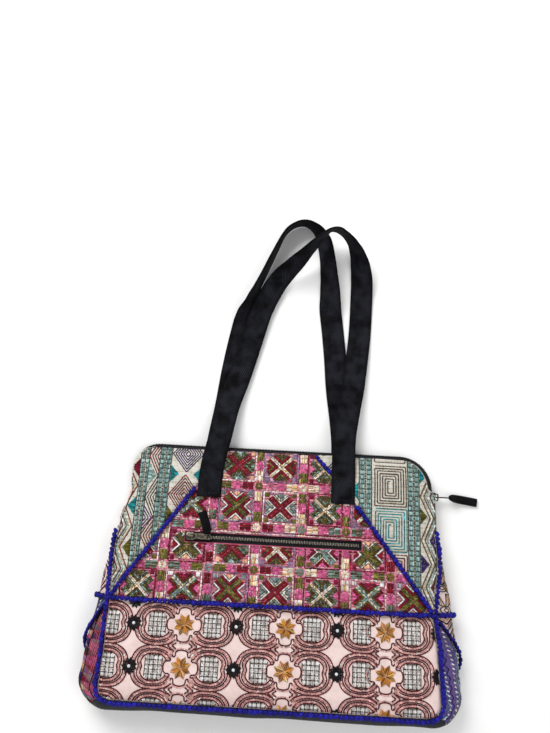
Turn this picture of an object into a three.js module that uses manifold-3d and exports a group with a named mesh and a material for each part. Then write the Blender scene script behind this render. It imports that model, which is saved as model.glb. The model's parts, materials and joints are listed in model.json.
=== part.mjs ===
import * as THREE from 'three';
import { mergeVertices } from 'three/addons/utils/BufferGeometryUtils.js';
import Module from 'manifold-3d';

// A patchwork convertible backpack lying flat on its back, zips closed, with both carrying straps laid out.
// Millimetres, +Z up, +Y towards the straps. The origin is on the rest face under the middle of the back.

// Cloth and clearances
const CLOTH = 2;
const GAP = 0.35;
const SEAM = 0.6;

// Outline of the bag, seen from above
const TOP_Y = 142.9;
const BOTTOM_Y = -128;
const CORNER_LEFT = 30;
const CORNER_RIGHT = 38;
const BOTTOM_CORNER = 14;
const CROSS_Y = -28;
const BASE_BULGE = 14;

// Slanting seam of the lower gusset: how far it runs down from the cross seam, and half its width
// as a share of the gusset's width
const SLANT_RUN = 88;
const SLANT_SEAM = 0.014;

// Rise of the front from its edges, and of the back where the rear strap is sewn under it
const ROLL = 32;
const EDGE_ROLL_BOTTOM = 18;
const TUCK_Z = 3.6;
const TUCK_FROM_Y = 64;
const TUCK_TO_Y = 82;

// Top zip
const ZIP_DEPTH = 5;
const ZIP_END_Y = 92;
const ZIP_Z = 9;
const CHAIN_WIDTH = 5.2;
const CHAIN_THICK = 2;
const TAPE = 0.9;
const TAPE_FRONT_Z = 13.6;
const TAPE_BACK_Z = 5.4;
const TOP_SLIDER_Y = 98.3;

// Pocket zip
const POCKET_Y = 40.5;
const POCKET_LEFT = -99;
const POCKET_RIGHT = 97;
const POCKET_SLOT = 10;
const POCKET_SLIDER_X = -93;

// Slider, puller and pull tab
const SLIDER = { length: 10, width: 8.5, body: 5.3 };
const CROWN = { half: 4.2, top: 4, bar: 1.2, width: 2 };
const PULLER = { topLength: 15.3, pocketLength: 23, width: 6, thick: 1.2, pivot: 0.9 };
const EYE = { length: 5.1, half: 1.7, rim: 0.6 };
const TAB_SLOT = { length: 2.6, half: 1.9, rim: 1.4 };
const TAB = { width: 9.5, thick: 2.4, length: 32 };

// Braid, how far its slanting and level runs stop short of where they meet, and straps
const BRAID = 4.5;
const BRAID_STOP = 4.8;
const CROSS_STOP = 1;
const STRAP_WIDTH = 27;
const STRAP_THICK = 2.4;

// Sections across the bag from the zip ends down to the bottom seam: the front seams, the outermost
// fold of the side gussets, and the heights of the seam and of the middle of the front
const SECTIONS = [
  { y: 143, left: -164, right: 173.5, foldLeft: -169, foldRight: 178.5, seamZ: 13.5, crownZ: 18 },
  { y: 91, left: -164, right: 173.5, foldLeft: -169, foldRight: 178.5, seamZ: 13.5, crownZ: 23 },
  { y: 80, left: -167.5, right: 175, foldLeft: -171.3, foldRight: 178.3, seamZ: 14.5, crownZ: 24 },
  { y: 62, left: -173, right: 179, foldLeft: -176, foldRight: 181.4, seamZ: 16.5, crownZ: 25.8 },
  { y: 42, left: -176.3, right: 181.5, foldLeft: -180, foldRight: 185.5, seamZ: 19, crownZ: 27.8 },
  { y: 22, left: -177.3, right: 182, foldLeft: -184, foldRight: 189.8, seamZ: 22, crownZ: 29.8 },
  { y: 0, left: -177, right: 179, foldLeft: -187.5, foldRight: 194.4, seamZ: 25.5, crownZ: 32 },
  { y: -28, left: -175.3, right: 175.5, foldLeft: -191, foldRight: 199.2, seamZ: 29.5, crownZ: 34.8 },
  { y: -54, left: -175.5, right: 178.5, foldLeft: -194.8, foldRight: 202.3, seamZ: 33, crownZ: 37.3 },
  { y: -76, left: -175, right: 180, foldLeft: -198.3, foldRight: 205, seamZ: 35, crownZ: 39.4 },
  { y: -128, left: -177, right: 182.5, foldLeft: -203, foldRight: 208.5, seamZ: 39.5, crownZ: 44.5 },
];

// Slanting seams of the front, each running out to the end of the cross seam
const SLANT_LEFT = [
  { y: 138, x: -60.5 },
  { y: 94.7, x: -91.8 },
  { y: -28, x: -175.5 },
];
const SLANT_RIGHT = [
  { y: 138, x: 42 },
  { y: 83.3, x: 89.9 },
  { y: -28, x: 175.4 },
];

// The two straps along their middles: lift is the height of the lower edge, roll turns the webbing on edge
const onFront = (x, y) => frontZ(x, y) + GAP + 0.1;
const STRAP_FRONT = [
  { x: -76.3, y: 84.5, lift: onFront(-76.3, 84.5), roll: 0 },
  { x: -75.8, y: 112, lift: onFront(-75.8, 112), roll: 0 },
  { x: -73, y: 133, lift: 19.2, roll: 0 },
  { x: -69.3, y: 152, lift: 17.2, roll: 0 },
  { x: -62.8, y: 191, lift: 8.4, roll: 0 },
  { x: -57, y: 211.6, lift: 5, roll: 0 },
  { x: -51, y: 232, lift: 4, roll: 0 },
  { x: -40.5, y: 272.8, lift: 4, roll: -2 },
  { x: -34.5, y: 296, lift: 4.2, roll: -12 },
  { x: -29, y: 314, lift: 4.4, roll: -19 },
  { x: -20.5, y: 334, lift: 4, roll: -23 },
  { x: -9, y: 353, lift: 4.5, roll: -36 },
  { x: 7.5, y: 370, lift: 8, roll: -56 },
  { x: 27, y: 388.5, lift: 19, roll: -78 },
  { x: 44, y: 404.5, lift: 25.5, roll: -94 },
  { x: 52, y: 410, lift: 25.5, roll: -103 },
  { x: 60, y: 411, lift: 21, roll: -104 },
  { x: 69, y: 408, lift: 15.5, roll: -97 },
  { x: 77, y: 401.5, lift: 10, roll: -84 },
  { x: 84, y: 390, lift: 5, roll: -62 },
  { x: 89, y: 375, lift: 2, roll: -38 },
  { x: 91.8, y: 358, lift: 1, roll: -16 },
  { x: 92.3, y: 335, lift: 0.6, roll: -3 },
  { x: 91.7, y: 300, lift: 0.6, roll: 0 },
  { x: 90.6, y: 280, lift: 1.5, roll: 0 },
  { x: 88.6, y: 259.6, lift: 3.8, roll: 0 },
  { x: 84.4, y: 219, lift: 6, roll: 0 },
  { x: 80.8, y: 198.5, lift: 9.5, roll: 0 },
  { x: 74.9, y: 159, lift: 17.2, roll: 0 },
  { x: 74.8, y: 136, lift: 19, roll: 0 },
  { x: 75, y: 112, lift: onFront(75, 112), roll: 0 },
  { x: 74.8, y: 84.5, lift: onFront(74.8, 84.5), roll: 0 },
];
const STRAP_BACK = [
  { x: -76, y: 85, lift: 0.4, roll: 0 },
  { x: -75, y: 120, lift: 0.4, roll: 0 },
  { x: -71.7, y: 154, lift: 0.4, roll: 0 },
  { x: -66, y: 192.5, lift: 0.4, roll: 0 },
  { x: -61.7, y: 232, lift: 0.4, roll: 0 },
  { x: -56.5, y: 268, lift: 0.4, roll: 0 },
  { x: -52.5, y: 289, lift: 0.8, roll: -5 },
  { x: -48.5, y: 306, lift: 1.1, roll: -32 },
  { x: -43.5, y: 322, lift: 0.8, roll: -68 },
  { x: -38, y: 338, lift: 0.7, roll: -81 },
  { x: -32, y: 352, lift: 0.7, roll: -83 },
  { x: -24, y: 372, lift: 0.7, roll: -85 },
  { x: -15, y: 394, lift: 0.6, roll: -88 },
  { x: -6, y: 414, lift: 0.6, roll: -94 },
  { x: 4, y: 424, lift: 0.6, roll: -98 },
  { x: 17.5, y: 428.5, lift: 0.6, roll: -98 },
  { x: 28.5, y: 424, lift: 0.6, roll: -88 },
  { x: 37.5, y: 415, lift: 0.6, roll: -72 },
  { x: 43.5, y: 403, lift: 0.7, roll: -55 },
  { x: 47.5, y: 385, lift: 0.7, roll: -51 },
  { x: 50.5, y: 362, lift: 0.7, roll: -43 },
  { x: 53, y: 338, lift: 0.7, roll: -28 },
  { x: 54.3, y: 318, lift: 0.5, roll: -9 },
  { x: 57.2, y: 299, lift: 0.4, roll: 0 },
  { x: 62.2, y: 259, lift: 0.4, roll: 0 },
  { x: 66, y: 219, lift: 0.4, roll: 0 },
  { x: 71.8, y: 181, lift: 0.4, roll: 0 },
  { x: 75, y: 150, lift: 0.4, roll: 0 },
  { x: 75.2, y: 85, lift: 0.4, roll: 0 },
];

// Smooth curve through one column of a table whose rows run down the bag
function column(table, key, y) {
  const last = table.length - 1;
  let i = table.findIndex((row) => row.y <= y) - 1;
  if (i === -2) i = last - 1;
  i = Math.max(0, Math.min(i, last - 1));
  const slope = (k) => {
    const a = table[Math.max(0, k - 1)];
    const b = table[Math.min(last, k + 1)];
    return (b[key] - a[key]) / (b.y - a.y);
  };
  const [p, q] = [table[i], table[i + 1]];
  const span = q.y - p.y;
  const t = THREE.MathUtils.clamp((y - p.y) / span, 0, 1);
  const rise = (1 - t) * (1 - t) * t * slope(i) * span - t * t * (1 - t) * slope(i + 1) * span;
  return p[key] + (q[key] - p[key]) * t * t * (3 - 2 * t) + rise;
}

function section(key, y) {
  return column(SECTIONS, key, y);
}

// Distance from two edges that meet in a rounded corner
function roundedCorner(a, b, radius) {
  if (a < radius && b < radius) return radius - Math.hypot(radius - a, radius - b);
  return Math.min(a, b);
}

function edgeDistance(x, y) {
  const fromLeft = x - section('left', y);
  const fromRight = section('right', y) - x;
  const fromTop = TOP_Y - ZIP_DEPTH - y;
  const top = Math.min(
    roundedCorner(fromLeft, fromTop, CORNER_LEFT - ZIP_DEPTH),
    roundedCorner(fromRight, fromTop, CORNER_RIGHT - ZIP_DEPTH),
  );
  return Math.max(0, top);
}

// The front: a low cushion that is thickest at the base, rolls down to every edge and ripples a little
function frontZ(x, y) {
  const crown = section('crownZ', y);
  const seam = section('seamZ', y);
  const side = Math.max(0, 1 - edgeDistance(x, y) / ROLL);
  const foot = Math.max(0, 1 - (y - BOTTOM_Y) / EDGE_ROLL_BOTTOM);
  const fall = 1 - (1 - side * side) * (1 - foot * foot);
  const ripple = 0.6 * Math.sin(x / 29 + 0.6) * Math.sin(y / 34 + 0.9);
  return crown - (crown - seam) * fall + ripple * (1 - fall);
}

function frontPoint(x, y) {
  return new THREE.Vector3(x, y, frontZ(x, y));
}

// The back lies flat on the ground and lifts over the sewn ends of the rear strap
function backZ(y) {
  const tuck = TUCK_Z * THREE.MathUtils.smoothstep(y, TUCK_FROM_Y, TUCK_TO_Y);
  return tuck + 1.2 * THREE.MathUtils.smoothstep(y, TUCK_TO_Y, TOP_Y);
}

function backPoint(x, y) {
  return new THREE.Vector3(x, y, backZ(y));
}

// The rim of the gusset. t runs 0..1 down the right side, 1..2 round the corner, 2..3 along the base,
// 3..4 round the left corner and 4..5 up the left side.
function rim(t) {
  const stop = BOTTOM_Y + BOTTOM_CORNER;
  const rightX = section('right', stop) - BOTTOM_CORNER;
  const leftX = section('left', stop) + BOTTOM_CORNER;
  const sideBulge = section('foldRight', stop) - section('right', stop);
  const low = { z: section('seamZ', BOTTOM_Y), floor: 0 };
  if (t <= 1 || t >= 4) {
    const right = t <= 1;
    const y = THREE.MathUtils.lerp(ZIP_END_Y, stop, right ? t : 5 - t);
    const x = section(right ? 'right' : 'left', y);
    const fold = section(right ? 'foldRight' : 'foldLeft', y);
    const z = section('seamZ', y);
    return { x, y, nx: right ? 1 : -1, ny: 0, bulge: Math.abs(fold - x), z, floor: backZ(y) };
  }
  if (t >= 2 && t <= 3) {
    const x = THREE.MathUtils.lerp(rightX, leftX, t - 2);
    return { x, y: BOTTOM_Y, nx: 0, ny: -1, bulge: BASE_BULGE, ...low };
  }
  const right = t < 2;
  const turn = (right ? t - 1 : 4 - t) * (Math.PI / 2);
  const nx = (right ? 1 : -1) * Math.cos(turn);
  const ny = -Math.sin(turn);
  const bulge = THREE.MathUtils.lerp(sideBulge, BASE_BULGE, turn / (Math.PI / 2));
  const x = (right ? rightX : leftX) + BOTTOM_CORNER * nx;
  return { x, y: stop + BOTTOM_CORNER * ny, nx, ny, bulge, ...low };
}

function rimAtY(y, right) {
  const t = (ZIP_END_Y - y) / (ZIP_END_Y - BOTTOM_Y - BOTTOM_CORNER);
  return right ? t : 5 - t;
}

// The gusset swells out between the front seam (s = 0) and the back seam (s = 1)
function gussetPoint(s, t) {
  const r = rim(t);
  const out = r.bulge * Math.sin(Math.PI * s);
  const z = THREE.MathUtils.lerp(r.z - CLOTH - 2 * GAP, r.floor + CLOTH + GAP, s);
  return new THREE.Vector3(r.x + r.nx * out, r.y + r.ny * out, z);
}

// Closed solid between two matching grids of points
function slab(outer, inner, rows, columns) {
  const positions = [...outer, ...inner].flatMap((p) => [p.x, p.y, p.z]);
  const half = outer.length;
  const index = [];
  const quad = (a, b, c, d) => index.push(a, b, c, a, c, d);
  for (let i = 0; i < rows - 1; i++) {
    for (let j = 0; j < columns - 1; j++) {
      const a = i * columns + j;
      quad(a, a + 1, a + columns + 1, a + columns);
      quad(half + a, half + a + columns, half + a + columns + 1, half + a + 1);
    }
  }
  const edge = [];
  for (let j = 0; j < columns; j++) edge.push(j);
  for (let i = 1; i < rows; i++) edge.push(i * columns + columns - 1);
  for (let j = columns - 2; j >= 0; j--) edge.push((rows - 1) * columns + j);
  for (let i = rows - 2; i > 0; i--) edge.push(i * columns);
  edge.forEach((a, k) => {
    const b = edge[(k + 1) % edge.length];
    quad(a, half + a, half + b, b);
  });
  const geometry = new THREE.BufferGeometry();
  geometry.setAttribute('position', new THREE.Float32BufferAttribute(positions, 3));
  geometry.setIndex(volume(positions, index) < 0 ? index.reverse() : index);
  return geometry;
}

function volume(positions, index) {
  const corner = (k) => new THREE.Vector3().fromArray(positions, 3 * index[k]);
  let total = 0;
  for (let k = 0; k < index.length; k += 3) total += corner(k).dot(corner(k + 1).cross(corner(k + 2)));
  return total / 6;
}

function surfaceNormal(point, u, v, stepU, stepV) {
  const du = point(u + stepU, v).sub(point(u - stepU, v));
  const dv = point(u, v + stepV).sub(point(u, v - stepV));
  return du.cross(dv).normalize();
}

// A cloth panel over a surface: for each row v it runs from one edge to the other
function panel(point, rows, from, to, columns, options = {}) {
  const { lift = 0, thick = CLOTH, facing = 1, stepU = 0.5, stepV = 0.5 } = options;
  const outer = [];
  const inner = [];
  for (const v of rows) {
    for (let j = 0; j <= columns; j++) {
      const u = THREE.MathUtils.lerp(from(v), to(v), j / columns);
      const p = point(u, v);
      const n = surfaceNormal(point, u, v, stepU, stepV).multiplyScalar(facing);
      outer.push(p.clone().addScaledVector(n, lift));
      inner.push(p.clone().addScaledVector(n, lift - thick));
    }
  }
  return slab(outer, inner, rows.length, columns + 1);
}

function spread(from, to, count) {
  return Array.from({ length: count + 1 }, (_, i) => THREE.MathUtils.lerp(from, to, i / count));
}

// Rows down the bag, close together round the upper corners
function rowsDown(to, count) {
  const start = TOP_Y - ZIP_DEPTH;
  const arc = CORNER_RIGHT - ZIP_DEPTH;
  const turn = spread(0.12, Math.PI / 2, 7).map((a) => start - arc * (1 - Math.cos(a)));
  return [start, ...turn, ...spread(start - arc, to, count).slice(1)];
}

function outlineX(y, right) {
  const side = section(right ? 'right' : 'left', y);
  const radius = (right ? CORNER_RIGHT : CORNER_LEFT) - ZIP_DEPTH;
  const drop = Math.min(radius, TOP_Y - ZIP_DEPTH - y);
  const in_ = radius - Math.sqrt(Math.max(0, radius * radius - (radius - drop) * (radius - drop)));
  return right ? side - in_ : side + in_;
}

// Outline of the zip's outer face, from the right zip end over the top to the left one
function zipPath() {
  const path = [];
  const rightX = section('foldRight', 120);
  const leftX = section('foldLeft', 120);
  const arc = (cx, cy, radius, from, to) => {
    for (const a of spread(from, to, 9)) {
      const [nx, ny] = [Math.cos(a), Math.sin(a)];
      path.push({ x: cx + radius * nx, y: cy + radius * ny, nx, ny });
    }
  };
  for (const y of [ZIP_END_Y + 0.5, 98, 104]) path.push({ x: rightX, y, nx: 1, ny: 0 });
  arc(rightX - CORNER_RIGHT, TOP_Y - CORNER_RIGHT, CORNER_RIGHT, 0.04, Math.PI / 2);
  for (const x of spread(rightX - CORNER_RIGHT, leftX + CORNER_LEFT, 8).slice(1, -1)) {
    path.push({ x, y: TOP_Y, nx: 0, ny: 1 });
  }
  arc(leftX + CORNER_LEFT, TOP_Y - CORNER_LEFT, CORNER_LEFT, Math.PI / 2, Math.PI);
  for (const y of [104, ZIP_END_Y + 0.5]) path.push({ x: leftX, y, nx: -1, ny: 0 });
  return path;
}

// Strip along the zip: each end is a depth inside the outer face and a height
function zipStrip(path, a, b, thick) {
  const at = (p, depth, z) => new THREE.Vector3(p.x - p.nx * depth, p.y - p.ny * depth, z);
  const outer = path.flatMap((p) => [at(p, a.depth, a.z), at(p, b.depth, b.z)]);
  const inner = path.flatMap((p) => [at(p, a.depth + thick, a.z), at(p, b.depth + thick, b.z)]);
  return slab(outer, inner, path.length, 2);
}

function ring(radius, sides) {
  const turns = spread(0, 2 * Math.PI, sides).slice(0, -1);
  return new THREE.Shape(turns.map((a) => new THREE.Vector2(radius * Math.cos(a), radius * Math.sin(a))));
}

function braid(points, steps) {
  const extrudePath = new THREE.CatmullRomCurve3(points, false, 'centripetal');
  return new THREE.ExtrudeGeometry(ring(BRAID / 2, 8), { steps, extrudePath });
}

function braidOnFront(table, fromY, toY, steps) {
  const points = spread(fromY, toY, 8).map((y) => {
    const x = column(table, 'x', y);
    const n = surfaceNormal(frontPoint, x, y, 0.5, 0.5);
    return frontPoint(x, y).addScaledVector(n, BRAID / 2 + GAP);
  });
  return braid(points, steps);
}

function braidOnGusset(from, to, right, steps) {
  const points = spread(0, 1, 8).map((k) => {
    const s = THREE.MathUtils.lerp(from.s, to.s, k);
    const t = rimAtY(THREE.MathUtils.lerp(from.y, to.y, k), right);
    const n = surfaceNormal(gussetPoint, s, t, 0.01, 0.002);
    const p = gussetPoint(s, t);
    if (n.x * rim(t).nx < 0) n.negate();
    return p.addScaledVector(n, BRAID / 2 + 2 * GAP);
  });
  return braid(points, steps);
}

// A flat ribbon along a few stations, turned by a roll about its own length
function ribbon(stations, width, thick, steps) {
  const middle = stations.map((p) => new THREE.Vector3(p.x, p.y, p.z));
  const path = new THREE.CatmullRomCurve3(middle, false, 'centripetal');
  const up = new THREE.Vector3(0, 0, 1);
  const outer = [];
  const inner = [];
  for (let i = 0; i <= steps; i++) {
    const at = (i / steps) * (stations.length - 1);
    const k = Math.min(Math.floor(at), stations.length - 2);
    const t = THREE.MathUtils.smoothstep(at - k, 0, 1);
    const roll = THREE.MathUtils.degToRad(THREE.MathUtils.lerp(stations[k].roll, stations[k + 1].roll, t));
    const p = path.getPoint(i / steps);
    const along = path.getTangent(i / steps);
    const side = along.clone().cross(up).normalize();
    const across = side.clone().multiplyScalar(Math.cos(roll));
    across.addScaledVector(side.clone().cross(along).normalize(), Math.sin(roll));
    const face = across.clone().cross(along).normalize();
    for (const edge of [-0.5, 0.5]) {
      const q = p.clone().addScaledVector(across, edge * width);
      outer.push(q.clone().addScaledVector(face, thick / 2));
      inner.push(q.clone().addScaledVector(face, -thick / 2));
    }
  }
  return slab(outer, inner, steps + 1, 2);
}

// Strap webbing, lying flat or turned up on its edge above each station's lift
function webbing(table, steps) {
  const stations = table.map(({ x, y, lift, roll }) => {
    const a = THREE.MathUtils.degToRad(roll);
    const rise = (STRAP_WIDTH / 2) * Math.abs(Math.sin(a)) + (STRAP_THICK / 2) * Math.abs(Math.cos(a));
    return { x, y, z: lift + rise, roll };
  });
  return ribbon(stations, STRAP_WIDTH, STRAP_THICK, steps);
}

// Joining and cutting closed solids
const wasm = await Module();
wasm.setup();

function toSolid(geometry) {
  const bare = geometry.clone();
  bare.deleteAttribute('normal');
  bare.deleteAttribute('uv');
  const merged = mergeVertices(bare, 1e-4);
  const vertProperties = new Float32Array(merged.attributes.position.array);
  const triVerts = new Uint32Array(merged.index.array);
  return new wasm.Manifold(new wasm.Mesh({ numProp: 3, vertProperties, triVerts }));
}

function toGeometry(solid) {
  const mesh = solid.getMesh();
  const geometry = new THREE.BufferGeometry();
  geometry.setAttribute('position', new THREE.Float32BufferAttribute(mesh.vertProperties, 3));
  geometry.setIndex(Array.from(mesh.triVerts));
  return geometry;
}

function box(width, depth, height, x, y, z) {
  return new THREE.BoxGeometry(width, depth, height).translate(x, y, z);
}

function outlined(width, depth, corner) {
  const [w, d] = [width / 2, depth / 2];
  const shape = new THREE.Shape();
  shape.moveTo(-w + corner, -d);
  shape.lineTo(w - corner, -d);
  shape.lineTo(w, -d + corner);
  shape.lineTo(w, d - corner);
  shape.lineTo(w - corner, d);
  shape.lineTo(-w + corner, d);
  shape.lineTo(-w, d - corner);
  shape.lineTo(-w, -d + corner);
  shape.closePath();
  return shape;
}

// Zip slider with its crown. The chain runs along X at z = 0 and the slider's face looks up Z.
function sliderGeometry() {
  const bodyShape = outlined(SLIDER.length, SLIDER.width, 1.6);
  const body = new THREE.ExtrudeGeometry(bodyShape, { depth: SLIDER.body, bevelEnabled: false });
  body.translate(0, 0, -CHAIN_THICK / 2);
  const top = SLIDER.body - CHAIN_THICK / 2;
  const crown = new THREE.Shape();
  const [h, bar, rise] = [CROWN.half, CROWN.bar, CROWN.top];
  crown.moveTo(-h, -0.5);
  crown.lineTo(-h, rise - 1);
  crown.lineTo(-h + 1, rise);
  crown.lineTo(h - 1, rise);
  crown.lineTo(h, rise - 1);
  crown.lineTo(h, -0.5);
  crown.lineTo(h - bar, -0.5);
  crown.lineTo(h - bar, rise - bar);
  crown.lineTo(-h + bar, rise - bar);
  crown.lineTo(-h + bar, -0.5);
  crown.closePath();
  const arch = new THREE.ExtrudeGeometry(crown, { depth: CROWN.width, bevelEnabled: false });
  arch.rotateX(Math.PI / 2).translate(0, CROWN.width / 2, top);
  return toGeometry(toSolid(body).add(toSolid(arch)));
}

function pivotHeight() {
  return SLIDER.body - CHAIN_THICK / 2 + PULLER.pivot;
}

// Puller plate pointing along X from its pivot, with the eye that rides the crown and a slot for the tab
function pullerGeometry(end) {
  const [start, half] = [-EYE.rim, PULLER.width / 2];
  const plate = new THREE.Shape();
  plate.moveTo(start, -half);
  plate.lineTo(end - 1.2, -half);
  plate.lineTo(end, -half + 1.2);
  plate.lineTo(end, half - 1.2);
  plate.lineTo(end - 1.2, half);
  plate.lineTo(start, half);
  plate.closePath();
  const hole = (from, to, h) => {
    const corners = [[from, -h], [from, h], [to, h], [to, -h]];
    plate.holes.push(new THREE.Path(corners.map(([x, y]) => new THREE.Vector2(x, y))));
  };
  hole(EYE.rim, EYE.rim + EYE.length, EYE.half);
  hole(end - TAB_SLOT.rim - TAB_SLOT.length, end - TAB_SLOT.rim, TAB_SLOT.half);
  const geometry = new THREE.ExtrudeGeometry(plate, { depth: PULLER.thick, bevelEnabled: false });
  return geometry.translate(0, 0, -PULLER.thick / 2);
}

const bag = new THREE.Group();

function add(name, geometry, color, roughness = 0.9, metalness = 0, parent = bag) {
  const mesh = new THREE.Mesh(geometry, new THREE.MeshStandardMaterial({ color, roughness, metalness }));
  mesh.name = name;
  parent.add(mesh);
  return mesh;
}

const PINK = 0xb8406e;
const LINEN = 0xc9bfae;
const BAND = 0xd9b9b4;
const BLACK = 0x15161a;
const BLUE = 0x2a2bb0;
const BRASS = 0x5b4f38;

// Front panels, parted along the slanting and cross seams
const slantLeft = (y) => column(SLANT_LEFT, 'x', y);
const slantRight = (y) => column(SLANT_RIGHT, 'x', y);
const topRow = TOP_Y - ZIP_DEPTH;
const centreRows = spread(topRow, CROSS_Y + SEAM / 2, 13);
const centreLeft = (y) => slantLeft(y) + SEAM / 2;
const centreRight = (y) => slantRight(y) - SEAM / 2;
const centre = panel(frontPoint, centreRows, centreLeft, centreRight, 12);
const pocketMiddle = (POCKET_LEFT + POCKET_RIGHT) / 2;
const slot = box(POCKET_RIGHT - POCKET_LEFT, POCKET_SLOT, 30, pocketMiddle, POCKET_Y, frontZ(0, POCKET_Y));
add('front_centre', toGeometry(toSolid(centre).subtract(toSolid(slot))), PINK);
const cornerRows = rowsDown(CROSS_Y + 5, 9);
const outlineLeft = (y) => outlineX(y, false);
const outlineRight = (y) => outlineX(y, true);
const cornerLeft = panel(frontPoint, cornerRows, outlineLeft, (y) => slantLeft(y) - SEAM / 2, 7);
const cornerRight = panel(frontPoint, cornerRows, (y) => slantRight(y) + SEAM / 2, outlineRight, 7);
add('front_corner_left', cornerLeft, LINEN);
add('front_corner_right', cornerRight, LINEN);
const foot = [12, 7, 3, 0].map((up) => BOTTOM_Y + up);
const bandRows = [...spread(CROSS_Y - SEAM / 2, BOTTOM_Y + 18, 6), ...foot];
const inset = (y) => {
  const drop = Math.min(BOTTOM_CORNER, y - BOTTOM_Y);
  return BOTTOM_CORNER - Math.sqrt(BOTTOM_CORNER ** 2 - (BOTTOM_CORNER - drop) ** 2);
};
const bandLeft = (y) => section('left', y) + inset(y);
const bandRight = (y) => section('right', y) - inset(y);
add('front_band', panel(frontPoint, bandRows, bandLeft, bandRight, 20), BAND);

// Back panel
const backRows = [...rowsDown(80, 2), 76, 70, 64, ...spread(40, BOTTOM_Y + 16, 4), ...foot];
const backLeft = (y) => (y < 0 ? bandLeft(y) : outlineLeft(y));
const backRight = (y) => (y < 0 ? bandRight(y) : outlineRight(y));
add('back_panel', panel(backPoint, backRows, backLeft, backRight, 8, { facing: -1 }), BLACK);

// Side gussets and base
const gussetOptions = { facing: -1, stepU: 0.01, stepV: 0.002 };
for (const right of [true, false]) {
  const side = right ? 'right' : 'left';
  const t = (y) => rimAtY(y, right);
  const yAt = (v) => ZIP_END_Y - (right ? v : 5 - v) * (ZIP_END_Y - BOTTOM_Y - BOTTOM_CORNER);
  const slant = (v) => (CROSS_Y - yAt(v)) / SLANT_RUN;
  const upper = spread(ZIP_END_Y - 0.4, CROSS_Y + SEAM / 2, 9).map(t);
  const corner = right ? spread(1.1, 1.49, 3) : spread(3.9, 3.51, 3);
  const lower = [...spread(CROSS_Y - 4, BOTTOM_Y + BOTTOM_CORNER + 1, 8).map(t), ...corner];
  const behind = spread(CROSS_Y - SEAM / 2, CROSS_Y - 85.5, 7).map(t);
  const wide = (v) => ((v > 1 && v < 4) ? 1 : Math.min(1, slant(v) - SLANT_SEAM));
  const start = (v) => Math.max(0, slant(v)) + SLANT_SEAM;
  add(`gusset_${side}_upper`, panel(gussetPoint, upper, () => 0, () => 1, 7, gussetOptions), BAND);
  add(`gusset_${side}_front`, panel(gussetPoint, lower, () => 0, wide, 6, gussetOptions), PINK);
  add(`gusset_${side}_back`, panel(gussetPoint, behind, start, () => 1, 6, gussetOptions), LINEN);
}
const baseRows = [...spread(1.52, 2, 3), ...spread(2.1, 2.9, 8), ...spread(3, 3.48, 3)];
add('base_panel', panel(gussetPoint, baseRows, () => 0, () => 1, 7, gussetOptions), BLACK);

// Braid over the seams
add('braid_left', braidOnFront(SLANT_LEFT, 92, CROSS_Y + BRAID_STOP, 12), BLUE);
add('braid_right_upper', braidOnFront(SLANT_RIGHT, 135, 119.5, 3), BLUE);
add('braid_right_lower', braidOnFront(SLANT_RIGHT, 81, CROSS_Y + BRAID_STOP, 11), BLUE);
const crossFrom = section('left', CROSS_Y) + CROSS_STOP;
const crossTo = section('right', CROSS_Y) - CROSS_STOP;
const crossPoints = spread(crossFrom, crossTo, 12).map((x) => {
  const n = surfaceNormal(frontPoint, x, CROSS_Y, 0.5, 0.5);
  return frontPoint(x, CROSS_Y).addScaledVector(n, BRAID / 2 + 2 * GAP);
});
add('braid_cross', braid(crossPoints, 16), BLUE);
const edgeOut = BRAID * 0.5;
const braidOnRim = (stops, steps) => {
  const points = stops.map((t) => {
    const r = rim(t);
    return new THREE.Vector3(r.x + r.nx * edgeOut, r.y + r.ny * edgeOut, r.z + edgeOut);
  });
  return braid(points, steps);
};
add('braid_side_right', braidOnRim(spread(rimAtY(58, true), 0.985, 9), 12), BLUE);
add('braid_side_left', braidOnRim(spread(rimAtY(42, false), 4.015, 9), 11), BLUE);
add('braid_bottom', braidOnRim([1, 1.25, 1.5, 1.75, ...spread(2, 3, 8), 3.25, 3.5, 3.75, 4], 44), BLUE);
for (const right of [true, false]) {
  const side = right ? 'right' : 'left';
  const level = braidOnGusset({ y: CROSS_Y, s: 0.07 }, { y: CROSS_Y, s: 0.85 }, right, 7);
  const slanted = braidOnGusset({ y: CROSS_Y - 9, s: 0.09 }, { y: CROSS_Y - 75, s: 0.85 }, right, 9);
  add(`braid_gusset_${side}`, level, BLUE);
  add(`braid_slant_${side}`, slanted, BLUE);
}

// Top zip
const path = zipPath();
const halfChain = CHAIN_WIDTH / 2;
const chainPath = path.filter((p) => p.nx < 0.9999 || p.y > 103.9);
const chainBack = { depth: 0, z: ZIP_Z - halfChain };
const chainFront = { depth: 0, z: ZIP_Z + halfChain };
add('zip_chain', zipStrip(chainPath, chainBack, chainFront, CHAIN_THICK), BRASS, 0.45, 0.9);
const tapeIn = CHAIN_THICK + GAP;
const tapeEdge = (z) => ({ depth: tapeIn, z });
const tapeSeam = (z) => ({ depth: tapeIn + 1.3, z });
add('zip_tape_front', zipStrip(path, tapeEdge(ZIP_Z + 0.25), tapeSeam(TAPE_FRONT_Z), TAPE), BLACK);
add('zip_tape_back', zipStrip(path, tapeEdge(ZIP_Z - 0.25), tapeSeam(TAPE_BACK_Z), TAPE), BLACK);

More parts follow.
